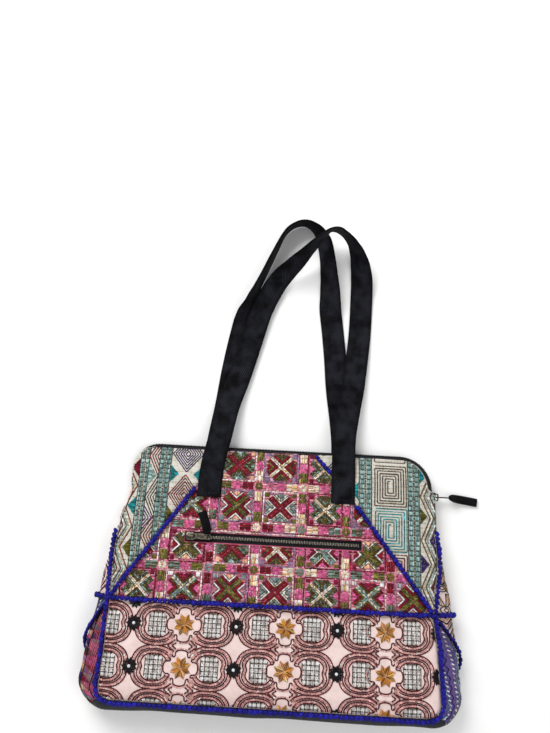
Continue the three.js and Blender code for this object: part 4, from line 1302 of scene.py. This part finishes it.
def latticeBlock(canvas, x, y, long, dye, level):
    if dye in ("rose", "pink"):
        rosette(canvas, x, y, dye)
        return
    wide, tall = (long, lattice["half"]) if level else (lattice["half"], long)
    block = boxOf(x - wide, y - tall, x + wide, y + tall)
    satin(canvas, block, 0 if level else 90, blends.get(dye, dye), **latticeFloss["block"])
    for step in lattice["stripesAt"]:
        if level:
            ends = [(x - wide, y + step * tall), (x + wide, y + step * tall)]
        else:
            ends = [(x + step * wide, y - tall), (x + step * wide, y + tall)]
        run(canvas, ends, lattice["stripe"].get(dye, "leaf"), **latticeFloss["stripe"])


def sewLattice(canvas):
    edge, uprights = lattice["edge"], lattice["uprights"]
    stops = [lattice["top"]] + lattice["levels"] + [lattice["foot"]]
    for x, dyes in zip(uprights, lattice["uprightDyes"]):
        names = dyes.split()
        for row, (top, foot) in enumerate(zip(stops, stops[1:])):
            for side in (-edge, edge):
                run(canvas, [(x + side, top - edge), (x + side, foot + edge)], "wine", **latticeFloss["rail"])
            step = (top - foot) / 4
            for place, dye in enumerate(names if row % 2 else names[::-1]):
                latticeBlock(canvas, x, top - step * (place + 1), lattice["uprightLong"], dye, False)
    for y, dyes in zip(lattice["levels"], lattice["levelDyes"]):
        names = dyes.split()
        for k, (x, far) in enumerate(zip(uprights, uprights[1:])):
            for side in (-edge, edge):
                run(canvas, [(x + edge, y + side), (far - edge, y + side)], "wine", **latticeFloss["rail"])
            step = (far - x) / 4
            for place in range(3):
                dye = names[(4 * k + place) % len(names)]
                latticeBlock(canvas, x + step * (place + 1), y, lattice["levelLong"], dye, True)
            rosette(canvas, far, y, names[(4 * k + 3) % len(names)], 8)


def groundStrip(x0, y0, x1, y1, angle):
    satin(centre, boxOf(x0, y0, x1, y1), angle, groundDyes["pink"], **latticeFloss["ground"])


wide, strip = lattice["reach"], lattice["strip"]
groundStrip(-wide, lattice["groundTop"], wide, lattice["top"], 0)
for x in lattice["uprights"]:
    groundStrip(x - strip, lattice["groundFoot"], x + strip, lattice["groundTop"], 90)
for y in lattice["levels"]:
    groundStrip(-wide, y - strip, wide, y + strip, 0)
for y, cells in starRows:
    for x, kind in cells:
        star(centre, x, y, starKinds[kind])
finishCanvas("embroideryCentre", centre)
sewLattice(trellis)
x0, x1, y = lattice["topLine"]
run(trellis, [(x0, y), (x1, y)], "ink", **latticeFloss["topLine"])
for out, aboveHighlightOrLine, belowDye in pocketLinesAndPaintedLight["rows"]:  # lines round the pocket's folded edges; the blush one just above is a painted highlight on the fold
    y = slotHigh[1] - topSeam + out
    start = slotLow[0] + pocketLinesAndPaintedLight["pastPull"]
    run(trellis, [(start, y), (slotHigh[0], y)], aboveHighlightOrLine, **pocketLinesAndPaintedLight["above"])
    y = slotLow[1] - topSeam - out
    run(trellis, [(slotLow[0], y), (slotHigh[0], y)], belowDye, **pocketLinesAndPaintedLight["below"])
finishCanvas("embroideryLattice", trellis)

# corner panels: ladders, nested diamonds, square spirals and chevrons in couched lines on linen

cornerFloss = {
    "rung": {"pitch": 1.0, "longest": 8, "wide": 1.15, "high": 1.3},
    "break": {"step": 8, "wide": 1.05, "high": 1.3},
    "dashes": {"step": 3.0, "wide": 1.4, "high": 1.5, "cover": 0.75},
    "rail": {"step": 2.8, "wide": 1.25, "high": 1.2},
    "couched": {"step": 4.0, "wide": 1.35, "high": 1.2, "cover": 1.0},
    "bold": {"step": 4.0, "wide": 1.5, "high": 1.2, "cover": 1.0},
    "wedge": {"pitch": 1.0, "longest": 8, "wide": 1.2, "high": 1.3},
    "quilting": {"step": 3.4, "wide": 0.6, "high": 0.7, "cover": 0.55},
    "edge": {"step": 3.4, "wide": 1.3, "high": 1.2, "cover": 1.0, "curve": True},
    "topLine": {"step": 2.6, "wide": 1.0, "high": 1.4},
    "cap": {"step": 2.4, "wide": 1.2, "high": 1.2},
}
cornerRows = {
    "top": -2, "foot": -172, "rung": 4.4, "break": 4.9, "next": 5.4, "rail": 0.8,
    "first": -6, "last": -171,  # of the quilting
}
edgeLine = {"inside": 1.7, "low": 2, "high": 104}


def ladder(canvas, x0, x1, dye):
    # two columns of blocks with dark breaks and a dashed line between them
    top, foot, rail = cornerRows["top"], cornerRows["foot"], cornerRows["rail"]
    half = ((x1 - x0) / 2 - 1.0) / 2
    for x in (x0 + half, x1 - half):
        y = top
        while y > foot:
            rung = boxOf(x - half, y - cornerRows["rung"], x + half, y)
            satin(canvas, rung, 90, [dye, dye, "mint"], **cornerFloss["rung"])
            level = y - cornerRows["break"]
            run(canvas, [(x - half, level), (x + half, level)], "pine", **cornerFloss["break"])
            y -= cornerRows["next"]
    middle = (x0 + x1) / 2
    run(canvas, [(middle, top), (middle, foot)], "brown", **cornerFloss["dashes"])
    for x in (x0 - rail, x1 + rail):
        run(canvas, [(x, top), (x, foot)], "slate", **cornerFloss["rail"])


def nested(canvas, x, y, halfWide, halfTall, dye, gap=2.7, half=None):
    # diamonds one inside another, whole or only their left or right half
    count = max(2, int(min(halfWide, halfTall) / gap))
    for k in range(count):
        share = 1 - k / count
        a, b = halfWide * share, halfTall * share
        corners = [(x, y + b), (x + a, y), (x, y - b), (x - a, y), (x, y + b)]
        if half:
            corners = corners[2:5] if half == "left" else corners[0:3]
        run(canvas, corners, dye, **cornerFloss["couched"])


def spiral(canvas, x0, y0, x1, y1, dye, gap=2.9):
    # a square spiral from the outside in
    points = [(x0, y0)]
    while x1 - x0 > gap and y0 - y1 > gap:
        points += [(x1, y0), (x1, y1), (x0, y1), (x0, y0 - gap), (x0 + gap, y0 - gap)]
        x0, y0, x1, y1 = x0 + gap, y0 - gap, x1 - gap, y1 + gap
    run(canvas, points, dye, **cornerFloss["couched"])


def chevrons(canvas, x, reach, tips, dyes, gap=2.3):
    # bold zigzag lines side by side, turning at each tip and halfway between tips
    step = tips[1] - tips[0]
    for k, dye in enumerate(dyes):
        shift = math.copysign(gap * k, reach)
        points = [(x + shift, tips[0] - step / 2)]
        for y in tips:
            points += [(x + shift + reach, y), (x + shift, y + step / 2)]
        run(canvas, points, dye, **cornerFloss["bold"])


def wedge(canvas, x, y, reach, half, dye):
    satin(canvas, [(x, y + half), (x + reach, y), (x, y - half)], 0, dye, **cornerFloss["wedge"])


def quilting(canvas, x0, x1, gap):
    for y in np.arange(cornerRows["first"], cornerRows["last"], -gap):
        run(canvas, [(x0, y), (x1, y)], "tan", **cornerFloss["quilting"])


def topLine(canvas, x0, x1, y):
    run(canvas, [(x0, y), (x1, y)], "ink", **cornerFloss["topLine"])


def spiralCap(canvas, x0, x1, top, foot):
    run(canvas, [(x0, top), (x0, foot), (x1, foot), (x1, top)], "brown", **cornerFloss["cap"])


def outerEdge(canvas, node, side, dye):
    # a dark line of stitches just inside the outer edge of a corner, darkening the edge
    ys, spans = panelEdges[node]
    kept = (ys > edgeLine["low"]) & (ys < edgeLine["high"])
    x = spans[kept, 0] + edgeLine["inside"] if side < 0 else spans[kept, 1] - edgeLine["inside"]
    run(canvas, np.stack([x, ys[kept] - topSeam], axis=1), dye, **cornerFloss["edge"])


leftChart = [  # a motif, then its numbers and dye
    (quilting, -178, -60, 6.2),
    (ladder, -158, -149.3, "sage"),
    (ladder, -135.5, -124, "sage"),
    (nested, -104.5, -10, 17.5, 21, "purple"),
    (nested, -105, -57, 17.5, 23, "brick"),
    (nested, -104, -106, 17, 22, "purple"),
    (nested, -74, -34, 15, 20, "brown"),
    (wedge, -122.6, -33.5, 10, 9.8, "sea"),
    (wedge, -86.5, -33.5, -10, 9.8, "sea"),
    (wedge, -122.6, -78, 7, 9, "olive"),
    (wedge, -86.5, -80, -9, 9, "sea"),
    (nested, -136.5, -14, 12.4, 23, "brick", 2.5, "left"),
    (wedge, -148.4, -36, 10, 14, "mint"),
    (nested, -136.5, -61, 12.4, 24, "drab", 2.5, "left"),
    (nested, -148.4, -84, 9.5, 13, "purple", 2.5, "right"),
    (nested, -136.5, -103, 12.4, 22, "brick", 2.5, "left"),
    (wedge, -148.4, -128, 10, 13, "mint"),
    (nested, -136.5, -148, 12.4, 20, "drab", 2.5, "left"),
    (wedge, -159.2, -28, -9, 11, "crimson"),
    (wedge, -159.2, -71.5, -10, 10.5, "sea"),
    (wedge, -159.2, -117, -9, 10.5, "olive"),
    (chevrons, -159.6, -12, [-26, -71.5, -117, -162], "brick cream mint brown white brick mint".split()),
    (topLine, -150, -58, -3.4),
    (outerEdge, "front_corner_left", -1, "wine"),
]
rightChart = [
    (quilting, 40, 180, 5.2),
    (ladder, 94, 106.5, "jade"),
    (ladder, 149.5, 161, "jade"),
    (spiral, 111, -12, 146.5, -57, ["drab", "brown"]),
    (spiral, 112, -60, 147, -106, "sea"),
    (spiral, 112, -109.5, 147, -152, "brick"),
    (spiralCap, 111, 146, -2, -7.6),
    (nested, 71, -22, 17.5, 21, "purple"),
    (nested, 81, -66, 12, 20, "brick"),
    (wedge, 92.4, -42, -10, 10, "sea"),
    (wedge, 162.6, -20, 10, 9.5, "sea"),
    (wedge, 162.6, -66, 9, 9, "olive"),
    (wedge, 162.6, -117.5, 10, 10.5, "purple"),
    (wedge, 181, -93, -9.5, 9.5, "purple"),
    (wedge, 181, -142, -9.5, 7.5, "crimson"),
    (chevrons, 163, 11.5, [-20, -68, -117.5, -166], "brown cream brown mint white brown mint".split()),
    (topLine, 44, 160, -3.4),
    (outerEdge, "front_corner_right", 1, "drab"),
]
for side, chart in (("left", leftChart), ("right", rightChart)):
    corner = frontCanvas("front_corner_" + side, 1.2)
    for motif, *numbers in chart:
        motif(corner, *numbers)
    finishCanvas("embroidery" + side.capitalize(), corner)

# lower band: flowers between nested ovals with a dark grid in each

band = frontCanvas("front_band", 0.9)
bandChart = {
    "rows": [-191, -233, -275],
    "lean": 0.018,
    "dark": [-145, -35.5, 72, 180],
    "gold": [-91, 17, 123],
    "topFlowers": -169.5,
    "ovals": [  # place, and the side towards its dark flower
        (-170.5, 1), (-119.5, -1), (-61, 1), (-9.5, -1), (45, 1), (98, -1), (151, 1),
    ],
    "lines": [(24, 21), (20.2, 18.0), (18.0, 16.2), (14.4, 13.4)],
    "gaps": [0.86, 0.86, 0.5, 0.5],
    "notches": [0.0, 0.04, 0.14, 0.16],
    "notchReach": 0.24,
    "square": 2.5,
    "slantTop": 21,
    "slants": [(15.5, 8.2, 15, "claret", 1.6, 1.4), (13.2, 7.6, 16.6, "dusty", 1.8, 0.9),
               (10.8, 6.4, 18, "claret", 1.6, 1.4)],  # far, near, drop, dye, width, height
    "fill": [(17.4, 10.6), (12.6, 8.2), (10.0, 9.4), (8.6, 11.6), (9.0, 15.0), (14.2, 20), (19.6, 17.2)],
    "fillAngle": 40,
    "grid": {"columns": 5, "rows": 6, "wide": 9.0, "tall": 11.8, "corner": 2.6},
    "arch": [(9.2, 13.2), (9.4, 11.6), (8.2, 10.4), (6.7, 10.9), (6.2, 12.4),
             (6.6, 14.4), (5.6, 16.4), (3.4, 17.6), (0, 18)],
    "archSize": (1.02, 0.95),
    "archLines": [(1.0, "claret", 1.7, 0), (1.13, "dusty", 1.8, 5)],  # size, dye, width, first point
    "archFoot": 8,
}
bandFloss = {
    "petal": {"pitch": 0.85, "longest": 9, "wide": 1.1, "high": 1.7},
    "ovalFill": {"step": 2.6, "wide": 1.7, "high": 0.8, "cover": 0.98, "curve": True},
    "ovalLine": {"step": 2.8, "wide": 1.8, "high": 1.4, "cover": 1.0, "curve": True},
    "gridGround": {"pitch": 1.1, "longest": 6, "wide": 1.15, "high": 0.8},
    "gridLine": {"step": 2.9, "wide": 1.3, "high": 1.4},
    "slantFill": {"pitch": 1.2, "longest": 5, "wide": 1.35, "high": 0.7},
    "arch": {"step": 1.9, "high": 1.2, "cover": 0.97, "curve": True},
}
flowerSizes = {
    "gold": {"petals": 8, "inner": 0.4, "outer": 11.4, "half": 3.0},
    "dark": {"petals": 11, "inner": 0.6, "outer": 8.9, "half": 2.4},
    "top": {"petals": 11, "inner": 0.6, "outer": 8.4, "half": 2.2},
}


def ovalLine(x, y, k, toward):
    # one ring, pinched towards the dark flower and open towards the gold one
    wide, tall = bandChart["lines"][k]
    gap, power = bandChart["gaps"][k], bandChart["square"]
    turns = np.linspace(-math.pi + gap, math.pi - gap, 57)
    cos, sin = np.cos(turns), np.sin(turns)
    swell = (np.abs(cos) ** power + np.abs(sin) ** power) ** (-1 / power)
    pinch = 1 - bandChart["notches"][k] * np.exp(-(turns / bandChart["notchReach"]) ** 2)
    return np.stack([x + toward * wide * swell * pinch * cos, y + tall * swell * sin], axis=1)


def sewOval(x, y, toward):
    lines = [ovalLine(x, y, k, toward) for k in range(len(bandChart["lines"]))]
    for outer, inner in ((0, 1), (2, 3)):
        for share in (0.28, 0.72):
            between = lines[outer] * (1 - share) + lines[inner] * share
            run(band, between, "dusty", **bandFloss["ovalFill"])
    for line in lines:
        run(band, line, "claret", **bandFloss["ovalLine"])


def sewGrid(x, y):
    grid = bandChart["grid"]
    wide, tall, corner = grid["wide"], grid["tall"], grid["corner"]
    satin(band, boxOf(x - wide, y - tall + 1, x + wide, y + tall - 1), 90, "white", **bandFloss["gridGround"])
    for across in np.linspace(-wide, wide, grid["columns"]):
        reach = tall - (corner if abs(across) == wide else 0)
        run(band, [(x + across, y - reach), (x + across, y + reach)], "drab", **bandFloss["gridLine"])
    for down in np.linspace(-tall, tall, grid["rows"]):
        reach = wide - (corner if abs(down) == tall else 0)
        run(band, [(x - reach, y + down), (x + reach, y + down)], "drab", **bandFloss["gridLine"])


def flower(x, y, size, dye, other):
    inner, outer, half = size["inner"], size["outer"], size["half"]
    middle = inner + (outer - inner) * 0.55
    outline = [(inner, 0.3), (middle, half), (outer, 0.2), (outer, -0.2), (middle, -half), (inner, -0.3)]
    for k in range(size["petals"]):
        turn = 2 * math.pi * (k + 0.5) / size["petals"]
        petal = turnedTo(x, y, math.cos(turn), math.sin(turn), outline)
        satin(band, petal, math.degrees(turn), other if k % 2 else dye, **bandFloss["petal"])


def goldFrame(x, y):
    # four arches with curled feet round a gold flower
    for cos, sin in quarters:
        for mirror in (1, -1):
            for grow, dye, wide, first in bandChart["archLines"]:
                lowered = (grow - 1) * bandChart["archFoot"]
                half = [(mirror * u * grow, v * grow - lowered) for u, v in bandChart["arch"]]
                arch = turnedTo(x, y, cos, sin, half, *bandChart["archSize"])
                run(band, arch[first:], dye, wide=wide, **bandFloss["arch"])


def goldCorners(x, y):
    # slanting bands from the rings to the arches
    for sideX, sideY in ((1, 1), (1, -1), (-1, 1), (-1, -1)):
        fill = [(x + u * sideX, y + v * sideY) for u, v in bandChart["fill"]]
        satin(band, fill, bandChart["fillAngle"] * sideX * sideY, "dusty", **bandFloss["slantFill"])
        for far, near, drop, dye, wide, high in bandChart["slants"]:
            top = y + bandChart["slantTop"] * sideY
            ends = [(x + far * sideX, top), (x + near * sideX, y + drop * sideY)]
            run(band, ends, dye, step=2.2, wide=wide, high=high)


def bandY(row, x):
    return row + bandChart["lean"] * x


for row in bandChart["rows"]:
    for x, toward in bandChart["ovals"]:
        sewOval(x, bandY(row, x), toward)
        sewGrid(x, bandY(row, x))
    for x in bandChart["gold"]:
        y = bandY(row, x)
        goldFrame(x, y)
        goldCorners(x, y)
        flower(x, y, flowerSizes["gold"], ["ochre", "ochre", "peach"], ["umber", "ochre", "tan"])
        rosette(band, x, y, "peach", 5, 2.2)
    for x in bandChart["dark"]:
        flower(x, bandY(row, x), flowerSizes["dark"], "ink", "ink")
for x in bandChart["dark"]:  # dark half flowers under the level seam
    flower(x, bandY(bandChart["topFlowers"], x / 2), flowerSizes["top"], "slate", "ink")
finishCanvas("embroideryBand", band)

beads = {"across": 3.5, "high": 2.4, "lift": 1.0, "sides": 14, "rings": 9, "rows": 2, "columns": 3}
beadSize = np.diag([beads["across"], beads["across"], beads["high"]])
bead = bmesh.new()
bmesh.ops.create_uvsphere(bead, u_segments=beads["sides"], v_segments=beads["rings"], radius=0.5)
beadPlaces = []
for row in bandChart["rows"][:beads["rows"]]:
    for x in bandChart["dark"][:beads["columns"]]:
        middle = frontPoint(np.array(x), np.array(bandY(row, x) + topSeam)) + np.array([0, 0, beads["lift"]])
        beadPlaces.append(np.column_stack([beadSize, middle]))
objectFrom("flowerBeads", scatter("flowerBeads", bead, beadPlaces), pearlBead)

# side gussets: chart y along the side, and the height off the floor as the second number

gussets = {
    "clear": 1.4,
    "lean": (0.96, 0.28),
    "rings": [(-150, 12, 1), (-112, 11, 1), (-80, 6, 0.45)],
    "ringSizes": [(17, 12), (13, 9), (9, 6), (5, 3.4)],
    "ringIn": (1.6, 1.2),
    "leaves": [
        (-166, 8), (-162, 20), (-150, 12), (-139, 19), (-132, 6),
        (-121, 14), (-108, 7), (-100, 14), (-86, 8), (-70, 7),
    ],
    "leaf": [(0, 0), (5, 5), (12, 6), (14, 2)],
    "buds": [(4, 3.4, "slate"), (2, 1.6, "brown")],
    "budBack": 3,
    "patch": ["pink", "purple", "steel", "peach", "maroon", "lilac", "rose", "slate"],
    "patchCell": {"wide": 8, "tall": 7, "shift": 0.3, "line": 7.2, "lineLong": 8.4},
    "patchRows": (2, 36, 7.5),
    "patchColumns": (-282, -170, 8.5),
    "stripes": ["peach", "wine", "blush", "maroon", "white", "brown", "dusty", "wine"],
    "stripeFeet": {"first": -296, "step": 3.0, "count": 44},
    "zigzag": [(0, 2), (13, 12), (0, 22), (13, 32), (8, 38)],
    "speckled": [
        ("gusset_left_back", "embroiderySideLeft", -1, "linen"),
        ("gusset_right_front", "embroiderySideRight", 1, "pink_cotton"),
    ],
    "speckles": ["steel", "lilac", "purple", "jade"],
    "speckleRows": (2, 40, 2.6),
    "speckleColumns": (-286, -168, 4.5),
    "speckleZig": 1.6,
    "fleck": [(0, -0.6), (1.6, 0.9)],
    "fleckShift": 4,
}
gussetFloss = {
    "ringFill": {"step": 2.4, "wide": 1.6, "high": 0.8, "cover": 0.98, "curve": True},
    "ring": {"step": 2.2, "wide": 1.3, "high": 1.1, "cover": 0.98, "curve": True},
    "leafFill": {"pitch": 1.0, "longest": 8, "wide": 1.4, "high": 0.9},
    "leaf": {"step": 2.2, "wide": 1.3, "high": 1.3},
    "bud": {"step": 2.0, "wide": 1.2, "high": 1.2, "cover": 0.98, "curve": True},
    "patch": {"pitch": 1.0, "longest": 9, "wide": 1.4, "high": 1.1},
    "patchLine": {"step": 2.8, "wide": 0.9, "high": 1.3},
    "stripe": {"step": 2.4, "wide": 1.9, "high": 1.2},
    "speckle": {"step": 2.4, "wide": 1.5, "high": 1.1},
    "fleck": {"step": 2.4, "wide": 1.5, "high": 1.4},
}


def gussetCanvas(node, side):
    mesh = softMeshes[node]
    tree = BVHTree.FromPolygons([v.co for v in mesh.vertices], [p.vertices[:] for p in mesh.polygons])
    away, inward = side * 0.4, Vector((-side, 0, 0))

    def cast(along, height):
        starts = [Vector((away, (a + topSeam) * mm, h * mm)) for a, h in zip(along.ravel(), height.ravel())]
        return [tree.ray_cast(start, inward)[0] for start in starts]

    def inside(along, height):
        found = np.array([hit is not None for hit in cast(along, height)]).reshape(along.shape)
        return found & (height > gussets["clear"])

    def surface(along, height):
        missed = np.stack([np.full(len(along), side * 180.0), along + topSeam, height], axis=1)
        return np.array([spot if hit is None else hit / mm for hit, spot in zip(cast(along, height), missed)])

    outward, upward = gussets["lean"]
    return newCanvas(inside, surface, (side * outward, 0, upward))


def ringAt(y, z, long, tall):
    turns = np.linspace(0, 2 * math.pi, 33)
    return np.stack([y + long * np.cos(turns), z + tall * np.sin(turns)], axis=1)


sideLeft = gussetCanvas("gusset_left_upper", -1)
inLong, inTall = gussets["ringIn"]
for y, z, grow in gussets["rings"]:
    for long, tall in gussets["ringSizes"]:
        filled = ringAt(y, z, long * grow - inLong, tall * grow - inTall)
        run(sideLeft, filled, "dusty", **gussetFloss["ringFill"])
        run(sideLeft, ringAt(y, z, long * grow, tall * grow), "wine", **gussetFloss["ring"])
finishCanvas("embroideryGussetLeft", sideLeft)

sideRight = gussetCanvas("gusset_right_upper", 1)
for y, z in gussets["leaves"]:
    for lean, dye in ((1, "tan"), (-1, "peach")):
        leaf = [(y + u, z + lean * v) for u, v in gussets["leaf"]]
        satin(sideRight, leaf, 0, dye, **gussetFloss["leafFill"])
        run(sideRight, leaf + leaf[:1], "slate", **gussetFloss["leaf"])
    for long, tall, dye in gussets["buds"]:
        run(sideRight, ringAt(y - gussets["budBack"], z, long, tall), dye, **gussetFloss["bud"])
finishCanvas("embroideryGussetRight", sideRight)

patchwork = gussetCanvas("gusset_left_front", -1)
cell = gussets["patchCell"]
wide, tall, shift = cell["wide"], cell["tall"], cell["shift"]
for row, z in enumerate(np.arange(*gussets["patchRows"])):
    for k, y in enumerate(np.arange(*gussets["patchColumns"])):
        first, second = gussets["patch"][(k + 3 * row) % 8], gussets["patch"][(2 * k + row + 1) % 8]
        satin(patchwork, [(y, z), (y + wide, z), (y, z + tall)], 0, first, **gussetFloss["patch"])
        far = y + wide + shift
        corner = [(far, z), (far, z + tall), (y + shift, z + tall)]
        satin(patchwork, corner, 0, second, **gussetFloss["patch"])
        level = z + cell["line"]
        run(patchwork, [(y, level), (y + cell["lineLong"], level)], "ink", **gussetFloss["patchLine"])
finishCanvas("embroideryPatchLeft", patchwork)

striped = gussetCanvas("gusset_right_back", 1)
feet = gussets["stripeFeet"]
for k in range(feet["count"]):
    foot = feet["first"] + feet["step"] * k
    zigzag = [(foot + u, v) for u, v in gussets["zigzag"]]
    run(striped, zigzag, gussets["stripes"][k % 8], **gussetFloss["stripe"])
finishCanvas("embroideryPatchRight", striped)

for node, name, side, slot in gussets["speckled"]:
    speckled = gussetCanvas(node, side)
    for k, z in enumerate(np.arange(*gussets["speckleRows"])):
        stops = np.arange(*gussets["speckleColumns"])
        zigzag = [(y, z + gussets["speckleZig"] * (j % 2)) for j, y in enumerate(stops)]
        run(speckled, zigzag, gussets["speckles"][k % 4], **gussetFloss["speckle"])
        if k % 2:
            for y in stops + dice.uniform(0, gussets["fleckShift"]):
                run(speckled, [(y + u, z + v) for u, v in gussets["fleck"]], "white", **gussetFloss["fleck"])
    finishCanvas(name, speckled)

# box and slanting stitches that hold the front strap to the bag

strapStitch = {"box": 10.6, "low": 4.0, "high": 29.0, "point": 15.0}
strapFloss = {"step": 3.0, "wide": 0.8, "high": 0.9, "cover": 0.8}
strapStops, strapParts, strapWidth = strapLines["strap_front"]


def strapCanvas(atEnd):
    def inside(across, along):
        return np.abs(across) < strapWidth / 2

    def surface(across, along):
        reach = strapStops[-1] - along if atEnd else along
        middles, acrosses, faces = (readAt(reach, strapStops, part) for part in strapParts)
        lift = np.where(faces[:, 2:] > 0, strap["thick"] / 2, -strap["thick"] / 2)
        return middles + acrosses * across[:, None] + faces * lift

    return newCanvas(inside, surface)


for atEnd, name in ((False, "strapStitchLeft"), (True, "strapStitchRight")):
    sewn = strapCanvas(atEnd)
    half, low, high = strapStitch["box"], strapStitch["low"], strapStitch["high"]
    box = boxOf(-half, low, half, high)
    run(sewn, box + box[:1], "thread", **strapFloss)
    run(sewn, [(-half, high), (0, strapStitch["point"]), (half, high)], "thread", **strapFloss)
    finishCanvas(name, sewn)
print("embroidery sewn")

# floor

floorHalf = 6  # metres
floorMesh = bmesh.new()
bmesh.ops.create_grid(floorMesh, x_segments=2, y_segments=2, size=floorHalf)
floor = bpy.data.objects.new("floor", meshFrom(floorMesh, "floor"))
floor.data.materials.append(paleFloor)
scene.collection.objects.link(floor)
